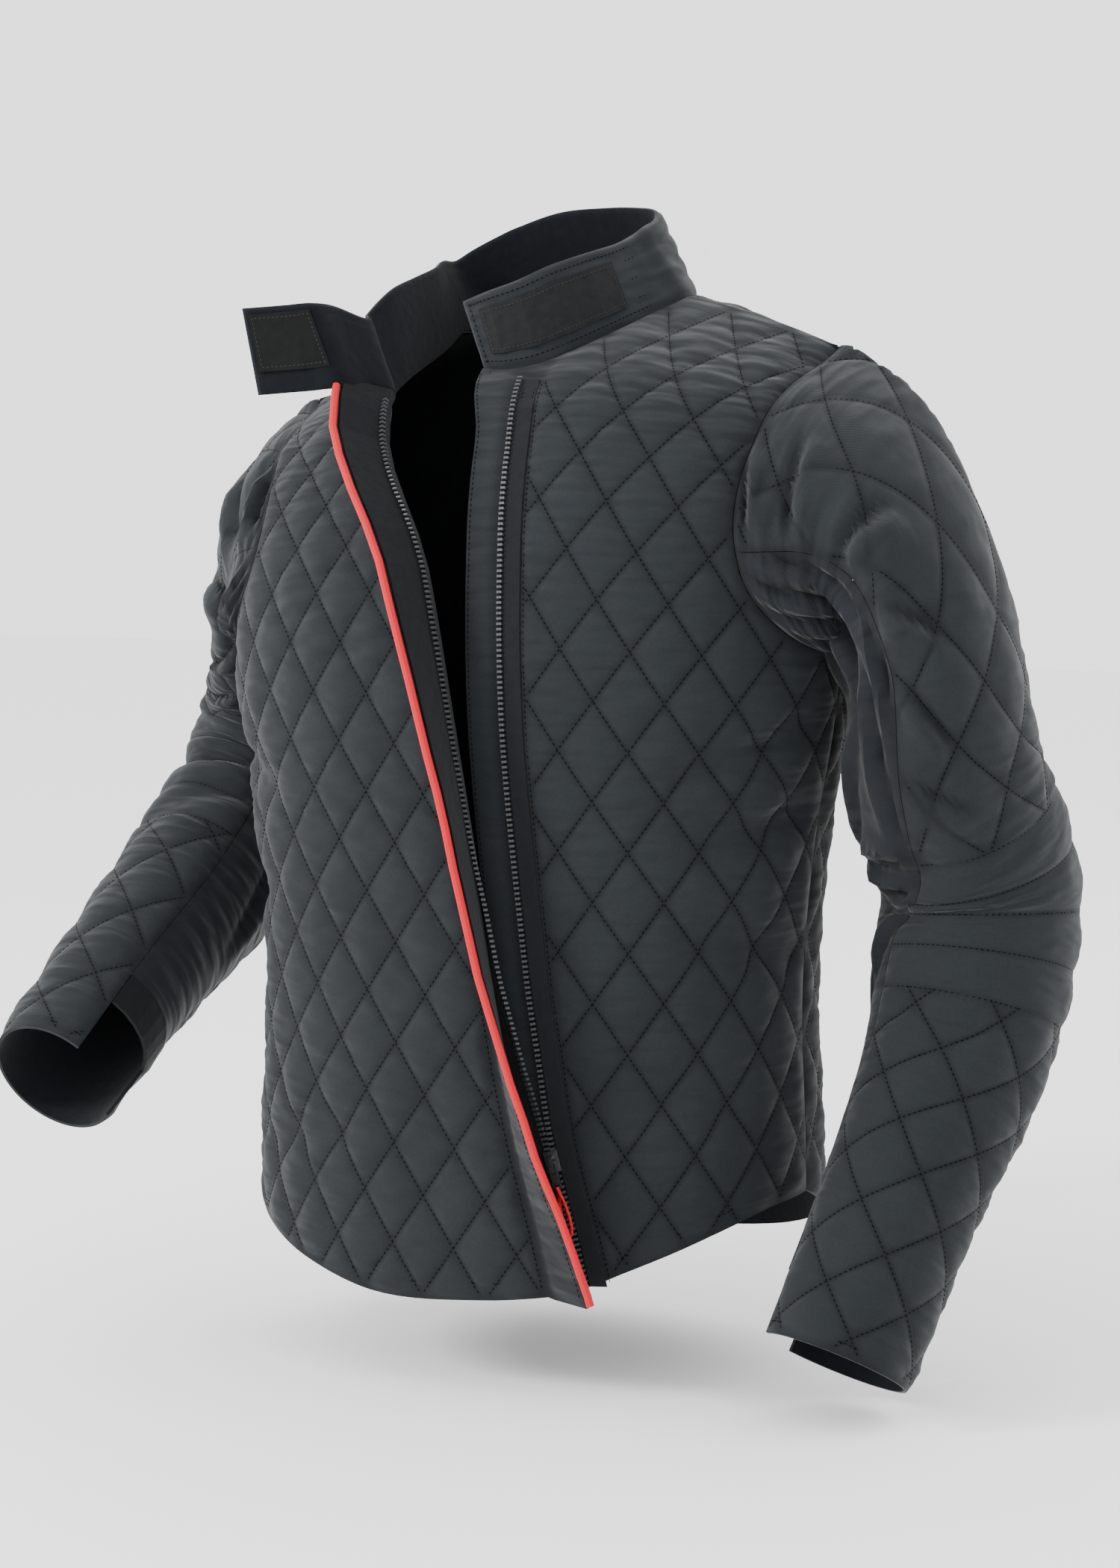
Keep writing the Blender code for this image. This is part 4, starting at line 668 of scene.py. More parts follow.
def woven_material(name, colour, pale, thread, lift, roughness):
    """Twill on the cloth's own cut: fine slanting threads, short creases, wear and soft fuzz, with
    painted shade in its valleys.
    """
    material = plain_material(name, colour, roughness, {
        "Sheen Weight": 0.1, "Sheen Roughness": 0.45, "Specular IOR Level": 0.2})
    return textured(material, {
        "cut": ("UVMap", {"uv_map": "cut"}),
        "place": ("TexCoord", {}),
        "hollow": ("Attribute", {"attribute_name": "hollow"}),
        "stretch": ("Mapping", {"Scale": (30.0, 115.0, 1.0)}),
        "creases": ("TexNoise", {"Scale": 1.0, "Detail": 0.6}),
        "weave": ("TexWave", {"bands_direction": "DIAGONAL", "Scale": 0.3 / thread,
                              "Distortion": 0.6}),
        "wear": ("TexNoise", {"Scale": 14.0, "Detail": 5.0}),
        "grain": ("TexNoise", {"Scale": 620.0, "Detail": 3.0}),
        "mix": blend(colour, pale),
        "speck": ("Mix", {"data_type": "RGBA", "blend_type": "MULTIPLY", "Factor": 0.45}),
        # Painted shade: mixes towards a quarter of the colour by the point attribute that marks
        # the valleys.
        "deep": ("Mix", {"data_type": "RGBA", "B": (*[c * 0.25 for c in colour], 1)}),
        "broad": relief(1.0, 0.0045),
        "bump": relief(0.35, lift),
        "soft": relief(0.25, lift * 1.5),
    }, ["cut.UV > stretch.Vector", "stretch.Vector > creases.Vector", "creases.Fac > broad.Height",
        "cut.UV > weave.Vector", "place.Object > wear.Vector", "place.Object > grain.Vector",
        "wear.Fac > mix.Factor", "mix.Result > speck.A", "grain.Fac > speck.B",
        "speck.Result > deep.A", "hollow.Fac > deep.Factor", "deep.Result > shader.Base Color",
        "broad.Normal > bump.Normal", "weave.Fac > bump.Height", "bump.Normal > soft.Normal",
        "grain.Fac > soft.Height", "soft.Normal > shader.Normal"])


def fleece_material(name, colour, pale):
    """Short brushed pile: clumps of two sizes that also raise the surface."""
    material = plain_material(name, colour, 0.95, {
        "Sheen Weight": 0.05, "Sheen Roughness": 0.6, "Specular IOR Level": 0.08})
    return textured(material, {
        "place": ("TexCoord", {}),
        "clumps": ("TexNoise", {"Scale": 160.0, "Detail": 6.0}),
        "hairs": ("TexNoise", {"Scale": 900.0}),
        "mix": blend(colour, pale),
        "bump": relief(0.6, 0.0012),
        "soft": relief(0.4, 0.0004),
    }, ["place.Object > clumps.Vector", "place.Object > hairs.Vector", "clumps.Fac > mix.Factor",
        "mix.Result > shader.Base Color", "clumps.Fac > bump.Height", "hairs.Fac > soft.Height",
        "bump.Normal > soft.Normal", "soft.Normal > shader.Normal"])


def hidden(thing):
    thing.hide_render = True
    return thing


def spindle():
    """Stitch of unit size: two points and four corners."""
    mesh = bpy.data.meshes.new("stitch")
    ring = [(0, 0.5, 0), (0, 0, 0.5), (0, -0.5, 0), (0, 0, -0.5)]
    tips = [(0.5, 0, 0), (-0.5, 0, 0)]
    faces = [(k, (k + 1) % 4, 4) for k in range(4)] + [((k + 1) % 4, k, 5) for k in range(4)]
    mesh.from_pydata(ring + tips, [], faces)
    mesh.flip_normals()
    return hidden(placed("stitch", mesh))


def repeat_tree():
    """Sets a small piece at even steps along lines: its long side along the line, its top out."""
    tree = bpy.data.node_groups.new("set_along_lines", "GeometryNodeTree")
    inputs = [("Geometry", "Geometry"), ("Pitch", "Float"), ("Long", "Float"), ("Wide", "Float"),
              ("High", "Float"), ("Piece", "Object"), ("Finish", "Material")]
    for word, kind in inputs:
        tree.interface.new_socket(word, in_out="INPUT", socket_type="NodeSocket" + kind)
    tree.interface.new_socket("Geometry", in_out="OUTPUT", socket_type="NodeSocketGeometry")
    nodes = {key: tree.nodes.new(kind) for key, kind in {
        "given": "NodeGroupInput", "made": "NodeGroupOutput", "line": "GeometryNodeMeshToCurve",
        "even": "GeometryNodeResampleCurve", "piece": "GeometryNodeObjectInfo",
        "place": "GeometryNodeInstanceOnPoints", "out": "GeometryNodeInputNamedAttribute",
        "way": "GeometryNodeInputTangent", "top": "FunctionNodeAlignRotationToVector",
        "turn": "FunctionNodeAlignRotationToVector", "sizes": "ShaderNodeCombineXYZ",
        "real": "GeometryNodeRealizeInstances", "finish": "GeometryNodeSetMaterial"}.items()}
    nodes["even"].mode = "LENGTH"
    nodes["out"].data_type = "FLOAT_VECTOR"
    nodes["out"].inputs["Name"].default_value = "out"
    nodes["top"].axis = "Z"
    nodes["turn"].axis = "X"
    nodes["turn"].pivot_axis = "Z"
    join(tree, nodes, [
        "given.Geometry > line.Mesh", "line.Curve > even.Curve", "given.Pitch > even.Length",
        "even.Curve > place.Points", "given.Piece > piece.Object",
        "piece.Geometry > place.Instance", "out.Attribute > top.Vector",
        "top.Rotation > turn.Rotation", "way.Tangent > turn.Vector",
        "turn.Rotation > place.Rotation", "given.Long > sizes.X", "given.Wide > sizes.Y",
        "given.High > sizes.Z", "sizes.Vector > place.Scale", "place.Instances > real.Geometry",
        "real.Geometry > finish.Geometry", "given.Finish > finish.Material",
        "finish.Geometry > made.Geometry"])
    return tree


SET_ALONG = repeat_tree()
STITCH = spindle()
thread = plain_material("black_thread", (0.0012, 0.0013, 0.0016), 0.8,
                        {"Specular IOR Level": 0.03})


def set_along(name, lines, piece, sizes, material, pitch):
    """Mesh of a piece repeated along lines of (place, outward) pairs in millimetres."""
    points, outs, edges = [], [], []
    for line in lines:
        start = len(points)
        points += [tuple(p * MM for p in place) for place, _ in line]
        outs += [tuple(out) for _, out in line]
        edges += [(start + k, start + k + 1) for k in range(len(line) - 1)]
    mesh = bpy.data.meshes.new(name + "_lines")
    mesh.from_pydata(points, edges, [])
    layer = mesh.attributes.new("out", "FLOAT_VECTOR", "POINT")
    layer.data.foreach_set("vector", np.array(outs, np.float32).ravel())
    source = placed(name + "_lines", mesh)
    maker = source.modifiers.new("set_along", "NODES")
    maker.node_group = SET_ALONG
    given = dict(zip(("Pitch", "Long", "Wide", "High"), (pitch * MM, *(s * MM for s in sizes))))
    given.update(Piece=piece, Finish=material)
    for socket in SET_ALONG.interface.items_tree:
        if socket.in_out == "INPUT" and socket.name in given:
            maker[socket.identifier] = given[socket.name]
    source.update_tag()
    bpy.context.view_layer.update()
    shown = source.evaluated_get(bpy.context.evaluated_depsgraph_get())
    made = bpy.data.meshes.new_from_object(shown)
    made.name = name
    bpy.data.objects.remove(source)
    thing = placed(name, made)
    if not made.materials:
        made.materials.append(material)
    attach(thing, "jacket")
    return thing


def over_surface(surface, flats, middle):
    """Places and outward directions of stitches on a surface, at flat points."""
    pairs = []
    for x, y in flats:
        point = surface(x, y)
        out = normal_of(surface, x, max(y, 4.0), 1.5)
        if out.dot(point - Vector(middle)) < 0:
            out = -out
        pairs.append((point + out * STITCH_LIFT, out))
    return pairs


def sew(part, lines, surface=None, middle=None):
    """Stitches along lines, which are flat points where a surface is given."""
    if surface:
        lines = [over_surface(surface, line, middle) for line in lines]
    return set_along("stitching_" + part, lines, STITCH, STITCH_SIZES, thread,
                     STITCH_PITCH)


def quilting_lines(outline, size, origin, keep, margin=4.0, step=4.0):
    """Flat points along the slanting quilting lines, where they cross a panel."""
    width, height = size
    shape = np.array([tuple(p) for p in outline])
    low, high = shape.min(axis=0), shape.max(axis=0)
    run = (high[1] - low[1]) * width / height
    lines = []
    for k in range(math.floor((low[0] - run - origin[0]) / width) - 1,
                   math.ceil((high[0] + run - origin[0]) / width) + 2):
        for slant in (-1, 1):
            drops = np.arange(low[1], high[1], step * height / math.hypot(width, height))
            x = origin[0] + k * width + slant * (drops - origin[1]) * width / height
            flats = np.stack([x, drops], axis=1)
            good = within(shape, flats) & (edge_distances(shape, flats) > margin) & keep(flats)
            runs = [[]]
            for point, fine in zip(flats, good):
                if fine:
                    runs[-1].append(tuple(point))
                else:
                    runs.append([])
            lines += [run for run in runs if len(run) > 2]
    return lines


def opening_edge(side):
    """Distance of a front's free edge from the centre line, at a drop."""
    if side > 0:
        return lambda drop: (read(OPENING, "zip_left", drop) - ZIP_SET_IN
                             - TOP_SET_IN * (1 - ease((drop - NECK_FRONT) / 55)))
    return flap_root


def half_sides(face):
    """Side seam, armhole and shoulder of one half, up from the hem."""
    points = []
    for k in range(21):
        drop = HEM_SIDE + (UNDERARM + SEAM_GAP - HEM_SIDE) * k / 20
        points.append((side_length(face, drop) - SEAM_GAP, drop))
    for k in range(23, 0, -1):
        flat = armhole_edge(face, k / 24)
        points.append((flat.x - SEAM_GAP, flat.y + SEAM_GAP))
    for k in range(6):
        along = SHOULDER_END + (NECK_HALF - SHOULDER_END) * k / 5
        shift = -SEAM_GAP if k == 0 else SEAM_GAP if k == 5 else 0
        points.append((along + shift, SEAM_GAP))
    return points


def front_sides(side):
    """Hem, side seam, armhole and shoulder of a front, in distances from the centre line."""
    edge = opening_edge(side)
    reach = side_length("front", HEM_SIDE)
    table = LEFT_HEM if side > 0 else RIGHT_HEM
    points = [(p.x, hem_drop(table, side * p.x, reach))
              for p in spread([(edge(HEM_FRONT), 0), (side * (reach - SEAM_GAP), 0)], 12)[:-1]]
    return points + [(side * x, y) for x, y in half_sides("front")]


def neck_drop(along):
    """Drop of the front neckline at a distance from the centre line."""
    return NECK_FRONT * (1 - (along / NECK_HALF) ** 2)


def hem_line(outline):
    """Row of topstitching above a panel's hem."""
    hem = sorted(p for p in outline if p[1] > HEM_SIDE - 1)
    return [(x, y - HEM_INSET) for x, y in hem][1:-1]


def back_neck_at(share):
    """Flat point of the back neckline, a share of the way from the left shoulder to the right."""
    side, low = math.cos(math.pi * share), math.sin(math.pi * share)
    return (NECK_HALF * math.copysign(abs(side) ** NECK_SQUARE, side),
            NECK_BACK * low ** NECK_SQUARE)


def add_front_left(materials):
    edge = opening_edge(1)
    outline = front_sides(1)
    end = edge(NECK_FRONT)
    for k in range(1, 15):
        along = NECK_HALF + (end - NECK_HALF) * (k / 14) ** 1.5
        outline.append((along, neck_drop(along) + SEAM_GAP))
    top, low = outline[-1][1], outline[0][1]
    drops = [top + (low - top) * k / EDGE_CUTS for k in range(1, EDGE_CUTS)]
    outline += [(edge(drop), drop) for drop in drops]
    origin = (read(OPENING, "zip_left", 300) + BAND_WIDE + 1, 300)
    diamonds = diamond_height(BODY_DIAMOND, origin)

    def rise(x, y):
        zip_line = np.array([read(OPENING, "zip_left", drop) for drop in y])
        past = np.clip((x - zip_line - BAND_WIDE) / 5, 0, 1)
        before = np.clip((zip_line - 2 - x) / 6, 0, 1)
        return diamonds(x, y) * past + BAND_PUFF * before
    grid = lattice(outline, BODY_DIAMOND, origin, CLOTH_STEP)

    def past_band(flats):
        return np.array([x > read(OPENING, "zip_left", y) + BAND_WIDE + 2 for x, y in flats])
    lines = quilting_lines(outline, BODY_DIAMOND, origin, past_band)
    middle = (60, -20, -330)
    for shift in FREE_EDGE_ROWS:
        lines.append([(edge(y) + shift, y) for y in range(74, 680, ROW_STEP)])
    for shift in ZIP_ROWS:
        lines.append([(read(OPENING, "zip_left", y) + shift, y)
                      for y in range(84, 680, ROW_STEP)])
    lines.append(hem_line(outline))
    sew("front_left", lines, front_left_surface, middle)
    return sewn_piece("front_left_cloth", outline, grid, front_left_surface, rise, materials,
                      middle, seed=2.0)


def add_front_right(materials):
    edge = opening_edge(-1)
    outline = [(x - edge(y), y) for x, y in front_sides(-1)]
    outline[0] = (0.0, outline[0][1])
    end = flap_root(RIGHT_NECK_END)
    for k in range(1, 9):
        drop = RIGHT_NECK_END * k / 8
        outline.append((-NECK_HALF + (end + NECK_HALF) * k / 8 - edge(drop) - SEAM_GAP, drop))
    outline[-1] = (0.0, RIGHT_NECK_END)
    for k in range(1, FLAP_CUTS + 1):
        past = FLAP * k / FLAP_CUTS
        outline.append((past, RIGHT_NECK_END + FLAP_SLANT * past))
    top, low = outline[-1][1], HEM_FRONT + FLAP_DIP
    outline += [(FLAP, top + (low - top) * k / EDGE_CUTS) for k in range(1, EDGE_CUTS + 1)]
    outline += [(FLAP * k / FLAP_CUTS, low) for k in range(FLAP_CUTS - 1, 0, -1)]
    origin = (-18, 300)
    diamonds = diamond_height(BODY_DIAMOND, origin)

    def rise(x, y):
        roots = np.array([edge(drop) for drop in y])
        quilted = diamonds(x + roots, y) * np.clip((-x - 3) / 5, 0, 1)
        return quilted + FLAP_PUFF * np.clip((x - 3) / 6, 0, 1)
    whole = [(p[0] + edge(p[1]), p[1]) for p in outline]
    grid = [(x - edge(y), y) for x, y in lattice(whole, BODY_DIAMOND, origin, CLOTH_STEP)]
    lines = quilting_lines(whole, BODY_DIAMOND, origin,
                           lambda flats: np.array([x < edge(y) - 4 for x, y in flats]))
    lines = [[(x - edge(y), y) for x, y in line] for line in lines]
    for past in FLAP_ROWS:
        lines.append([(past, y) for y in range(100, 684, ROW_STEP)])
    lines.append(hem_line([p for p in outline if p[0] < 0]))
    middle = (-60, -20, -330)
    sew("front_right", lines, front_right_surface, middle)
    return sewn_piece("front_right_cloth", outline, grid, front_right_surface, rise, materials,
                      middle, seed=5.0)


def add_back(materials):
    reach = side_length("back", HEM_SIDE)
    outline = [(p.x, hem_drop(BACK_HEM, abs(p.x), reach))
               for p in spread([(-reach + SEAM_GAP, 0), (reach - SEAM_GAP, 0)], 12)[1:-1]]
    right = half_sides("back")
    neck = [(x, y + SEAM_GAP) for x, y in (back_neck_at(k / 20) for k in range(1, 20))]
    outline += right + neck + [(-x, y) for x, y in reversed(right)]
    grid = lattice(outline, BODY_DIAMOND, (0, 300), CLOTH_STEP)
    lines = quilting_lines(outline, BODY_DIAMOND, (0, 300), lambda flats: flats[:, 1] > 0)
    lines.append(hem_line(outline))
    middle = (0, 0, -330)
    sew("back", lines, back_surface, middle)
    return sewn_piece("back_cloth", outline, grid, back_surface,
                      diamond_height(BODY_DIAMOND, (0, 300)), materials,
                      middle, seed=9.0)


shell_cloth = woven_material("shell_cloth", (0.0082, 0.0106, 0.0131), (0.0152, 0.0186, 0.0218),
                             0.0009, 0.00018, 0.88)
fleece = fleece_material("fleece_lining", (0.0012, 0.0016, 0.0026), (0.0042, 0.0056, 0.0085))
add_front_left([shell_cloth, fleece])
add_front_right([shell_cloth, fleece])
add_back([shell_cloth, fleece])


# Sleeves
# Each sleeve is a quilted outer panel with five channels at the elbow and a plain twill inner
# panel that stops short of the wrist and ends in a turned band.
SLEEVE_DIAMOND = (58.0, 58.0)
ELBOW_FROM = 232.0
ELBOW_PITCH = 34.0
ELBOW_CHANNELS = 5
CHANNEL_POWER = 0.7
Ring = namedtuple("Ring", "along x y z out front front_seam back_seam")
LEFT_RINGS = [
    Ring(0, 188, -46, -136, 96, 86, 105, -120),
    Ring(58, 243, -46, -168, 72, 84, 105, -120),
    Ring(130, 279, -50, -240, 57, 84, 106, -122),
    Ring(196, 287, -48, -305, 62, 76, 112, -126),
    Ring(287, 301, -20, -392, 66, 71, 128, -132),
    Ring(389, 299, -45, -487, 60, 62, 142, -140),
    Ring(507, 276, -92, -585, 51, 53, 148, -146),
    Ring(622, 252, -142, -684, 49, 51, 148, -148),
]
RIGHT_RINGS = [
    Ring(0, -188, -46, -150, 96, 86, 105, -120),
    Ring(58, -230, 30, -196, 44, 82, 105, -120),
    Ring(130, -245, 66, -244, 50, 82, 106, -122),
    Ring(200, -263, 84, -300, 62, 77, 110, -126),
    Ring(275, -280, 62, -362, 64, 72, 118, -132),
    Ring(365, -290, -6, -416, 58, 62, 126, -140),
    Ring(470, -297, -98, -472, 50, 53, 128, -146),
    Ring(580, -303, -192, -534, 45, 47, 128, -148),
]
CAP_BLEND = 120.0
LEFT_CAP = Vector((0.65, 0.0, -0.1))
RIGHT_CAP = Vector((-0.6, 0.12, -0.2))
INNER_SHORT = 45.0
CUFF_BAND = 26.0
FOLD_REACH = 1.25
LEFT_SLEEVE_FOLDS = [
    Fold(118, 40, 78, 52, 13, -13),
    Fold(150, 60, 66, 62, 13, -12),
    Fold(96, 70, 60, 48, 12, 8),
    Fold(176, 95, 84, 70, 14, -9),
    Fold(165, 250, 30, 52, 13, -8),
    Fold(178, 300, -18, 52, 13, -8),
]
RIGHT_SLEEVE_FOLDS = [
    Fold(118, 45, 78, 52, 13, -12),
    Fold(150, 65, 66, 62, 13, -11),
    Fold(108, 258, 12, 60, 16, -7),
    Fold(120, 295, -6, 64, 15, -10),
    Fold(128, 335, -22, 60, 15, -8),
    Fold(20, 285, 8, 50, 13, -7),
]
SLEEVE_GAP = 0.5
SMALL_GAP = 0.4
SEAM_CLEAR = 4.0
CUFF_ROW_IN = 8.0
TWILL_STEP = 8.0
# Short folds: in from the front seam and along at both ends, then width and height.
INNER_FOLDS = [
    (4, 4, 24, 122, 7.0, 7.5), (22, 3, 42, 104, 7.5, 8.0), (44, 4, 54, 148, 8.0, 7.0),
    (14, 92, 4, 184, 6.0, 6.0), (34, 112, 10, 226, 7.0, 6.5), (68, 6, 76, 156, 9.0, 6.0),
    (48, 160, 78, 246, 8.0, 5.5), (4, 218, 62, 230, 7.0, 6.5), (5, 250, 64, 247, 7.0, 6.0),
    (8, 286, 36, 366, 8.0, 4.5), (42, 326, 62, 436, 9.0, 4.5),
]
OUTER_FOLDS = [
    (3, 24, 60, 8, 7.0, 6.0), (3, 50, 66, 42, 7.0, 6.5), (3, 78, 58, 84, 6.5, 6.0),
    (3, 108, 48, 132, 6.5, 5.5), (3, 146, 38, 184, 6.5, 5.0), (3, 196, 50, 216, 6.5, 4.5),
]


def armhole_point(face, side, k):
    flat = armhole_edge(face, k)
    return bare_body(face, side * flat.x, flat.y)


def sleeve_rings(side):
    return LEFT_RINGS if side > 0 else RIGHT_RINGS


@lru_cache(maxsize=None)
def ring_frame(side, along):
    """Middle, outer and forward directions and half widths of a sleeve's ring."""
    rows = sleeve_rings(side)

    def middle(at):
        return Vector([read(rows, axis, at) for axis in "xyz"])

    tangent = (middle(along + 6) - middle(along - 6)).normalized()
    if along < CAP_BLEND:
        start = Vector((side * 0.8, 0.0, -0.6))
        tangent = start.lerp(tangent, ease(along / CAP_BLEND)).normalized()
    outward = Vector((side * 1.0, 0.25, 0.35))
    outward = (outward - tangent * outward.dot(tangent)).normalized()
    forward = tangent.cross(outward) * side
    return middle(along), outward, forward, read(rows, "out", along), read(rows, "front", along)


@lru_cache(maxsize=None)
def armhole_round(side, turn):
    """Point of the armhole at a turn round the sleeve, in degrees from the shoulder."""
    turn = (turn + 180) % 360 - 180
    face = "front" if turn >= 0 else "back"
    return armhole_point(face, side, abs(turn) / 180)


def sleeve_at(side, turn, along):
    """Point of a sleeve at a turn round it and a distance along its middle line."""
    middle, outward, forward, out, front = ring_frame(side, round(along, 3))
    angle = math.radians(turn)
    folds = LEFT_SLEEVE_FOLDS if side > 0 else RIGHT_SLEEVE_FOLDS
    swell = fold_depth(folds, turn % 360 * FOLD_REACH, along) * ease(along / 40)
    ring = (middle + outward * (math.cos(angle) * (out + swell))
            + forward * (math.sin(angle) * (front + swell)))
    if along >= CAP_BLEND:
        return ring
    seam = armhole_round(side, round(turn, 3))
    away = (LEFT_CAP if side > 0 else RIGHT_CAP) * along
    return (seam + away).lerp(ring, ease(along / CAP_BLEND))


def sleeve_round(along, side):
    rows = sleeve_rings(side)
    return math.pi * (read(rows, "out", along) + read(rows, "front", along))


def sleeve_surface(side):
    """Surface whose first axis is the distance round the sleeve, forward of its outer side."""
    def surface(first, along):
        return sleeve_at(side, first / sleeve_round(along, side) * 360, along)
    return surface


def at_turn(side, name, along):
    """Distance round the sleeve of one of its seams."""
    return read(sleeve_rings(side), name, along) / 360 * sleeve_round(along, side)


def sleeve_ends(side):
    outer = sleeve_rings(side)[-1].along
    inner = outer - INNER_SHORT
    return outer, inner, inner - CUFF_BAND


def sleeve_out(side, first, along):
    normal = normal_of(sleeve_surface(side), first, max(along, 4.0), 3.0)
    return -normal * side


def sleeve_middle(side):
    rows = sleeve_rings(side)
    return tuple(read(rows, axis, 300) for axis in "xyz")


def seam_folds(side, table, way):
    """Folds of a table on the cloth that lies to one way of the front seam."""
    def seam(along):
        return at_turn(side, "front_seam", along)
    return [(seam(b) + way * a, b, seam(d) + way * c, d, wide, high)
            for a, b, c, d, wide, high in table]


def across_outer(side, along, drop, count):
    """Row of flat points across the outer panel, with its place along the sleeve as drop."""
    low = at_turn(side, "back_seam", along) + SEAM_CLEAR
    high = at_turn(side, "front_seam", along) - SEAM_CLEAR
    return [(low + (high - low) * i / count, drop) for i in range(count + 1)]


def add_sleeve_outer(side, word, material):
    outer_end = sleeve_ends(side)[0]
    rows = sleeve_rings(side)
    first_turn, last_turn = rows[0].front_seam, rows[0].back_seam
    alongs = [outer_end * k / 60 for k in range(1, 61)]
    outline = [(at_turn(side, "front_seam", a) - SEAM_GAP, a) for a in alongs]
    outline += [(at_turn(side, "back_seam", a) + SEAM_GAP, a) for a in reversed(alongs)]
    turns = [last_turn + (first_turn - last_turn) * k / 45 for k in range(46)]
    outline += [(t / 360 * sleeve_round(SLEEVE_GAP, side), SLEEVE_GAP) for t in turns]
    diamonds = diamond_height(SLEEVE_DIAMOND, (0, 30))
    elbow_to = ELBOW_FROM + ELBOW_PITCH * (ELBOW_CHANNELS - 1)

    def rise(x, y):
        channels = np.abs(np.sin(np.pi * (y - ELBOW_FROM) / ELBOW_PITCH)) ** CHANNEL_POWER
        at_elbow = (y > ELBOW_FROM) & (y < elbow_to)
        near = np.minimum(np.abs(y - ELBOW_FROM), np.abs(y - elbow_to))
        return np.where(at_elbow, channels, diamonds(x, y) * np.clip(near / 5, 0, 1))
    grid = lattice(outline, SLEEVE_DIAMOND, (0, 30), CLOTH_STEP + 2)
    lines = quilting_lines(outline, SLEEVE_DIAMOND, (0, 30),
                           lambda flats: (flats[:, 1] < ELBOW_FROM) | (flats[:, 1] > elbow_to))
    for k in range(ELBOW_CHANNELS):
        drop = ELBOW_FROM + k * ELBOW_PITCH
        lines.append(across_outer(side, drop, drop, 60))
    lines.append(across_outer(side, outer_end, outer_end - CUFF_ROW_IN, 50))
    surface = sleeve_surface(side)
    outs = [[sleeve_out(side, x, y) for x, y in line] for line in lines]
    sew(f"sleeve_{word}", [[(surface(*flat) + out * STITCH_LIFT, out)
                            for flat, out in zip(line, ways)] for line, ways in zip(lines, outs)])
    return sewn_piece(f"sleeve_{word}_outer_cloth", outline, grid, surface, rise,
                      [material, fleece],
                      sleeve_middle(side), seed=12.0 + side,
                      folds=seam_folds(side, OUTER_FOLDS, -1))


def add_sleeve_inner(side, word, material):
    band_start = sleeve_ends(side)[2]
    rows = sleeve_rings(side)
    alongs = [band_start * k / 50 for k in range(1, 51)]

    def back_first(along):
        return at_turn(side, "back_seam", along) + sleeve_round(along, side)

    outline = [(at_turn(side, "front_seam", a) + SEAM_GAP, a) for a in alongs]
    outline += [(back_first(a) - SEAM_GAP, a) for a in reversed(alongs)]
    first, last = rows[0].front_seam, rows[0].back_seam + 360
    turns = [last + (first - last) * k / 30 for k in range(31)]
    outline += [(t / 360 * sleeve_round(SLEEVE_GAP, side), SLEEVE_GAP) for t in turns]
    grid = lattice(outline, (TWILL_STEP, TWILL_STEP), (0, 0), 1)
    return sewn_piece(f"sleeve_{word}_inner_cloth", outline, grid, sleeve_surface(side),
                      lambda x, y: np.zeros(len(x)) + 0.25, [material, fleece],
                      sleeve_middle(side), height=0.6, crease=1.6,
                      seed=20.0 + side, folds=seam_folds(side, INNER_FOLDS, 1))


plain_twill = woven_material("plain_twill_cloth", (0.0062, 0.0082, 0.0120),
                             (0.0115, 0.0145, 0.0190), 0.0011, 0.0002, 0.8)
for side, word in ((1, "left"), (-1, "right")):
    add_sleeve_outer(side, word, shell_cloth)
    add_sleeve_inner(side, word, plain_twill)


# Zip
# Moulded teeth on two woven tapes, open above a dark metal slider and closed below it, with a
# turned-under facing behind the flap and coral-red piping on the flap's free edge.
GAP = 0.3
SLIDER_DROP = 601.0
SLIDER_LENGTH = 14.0
TAPE_THICK = 0.8
CHAIN_WIDTH = 3.0
CHAIN_HEIGHT = 2.8
CHAIN_CLEAR = 1.0
FACING_THICK = 1.0
ZIP_TOP = 80.0
ZIP_END = 682.0
OPEN_END = SLIDER_DROP - SLIDER_LENGTH / 2 - CHAIN_CLEAR
CLOSED_START = SLIDER_DROP + SLIDER_LENGTH / 2 + CHAIN_CLEAR
TAPE_LIFT = -(WALL + FACING_THICK + 4 * GAP)
TOOTH_PITCH = 3.4
TOOTH_SIZES = (1.9, 3.3, 2.9)
RIGHT_ROW_LATE = 12.0
CLOSED_STAGGER = 1.7


def dress(node, material):
    """Gives a finish to a solid that shows as it is."""
    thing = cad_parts[node]
    thing.data.materials.clear()
    thing.data.materials.append(material)


def tooth():
    """Moulded tooth of unit size: a broad foot on the tape, a neck and a rounded head."""
    profile = [(-0.5, -0.5), (-0.1, -0.34), (0.12, -0.34), (0.32, -0.5), (0.5, -0.2), (0.5, 0.2),
               (0.32, 0.5), (0.12, 0.34), (-0.1, 0.34), (-0.5, 0.5)]
    points = [(y, x, z) for z in (-0.5, 0.5) for x, y in profile]
    count = len(profile)
    faces = [tuple(range(count)), tuple(range(2 * count - 1, count - 1, -1))]
    faces += [((k + 1) % count, k, k + count, (k + 1) % count + count) for k in range(count)]
    mesh = bpy.data.meshes.new("tooth")
    mesh.from_pydata(points, [], faces)
    return hidden(placed("tooth", mesh))


def zip_line(side, start, end, shift):
    """Line of a row of teeth with its outward direction."""
    line = []
    count = round((end - start) / 5)
    for k in range(count + 1):
        drop = start + (end - start) * k / count
        if side > 0:
            along = read(OPENING, "zip_left", drop) + shift
            out = body_normal("front", along, drop)
            lift = SMALL_GAP + 0.2 + CHAIN_HEIGHT / 2
            line.append((front_left_surface(along, drop) + out * lift, out))
        else:
            reach = read(OPENING, "tape_reach", drop) - SEAM_GAP - CHAIN_WIDTH / 2
            near, far = (right_sheet("tape_turn", TAPE_LIFT - h, TAPE_LIFT)(reach, drop)
                         for h in (0.0, TAPE_THICK))
            line.append((near.lerp(far, 0.5), (near - far).normalized()))
    return line


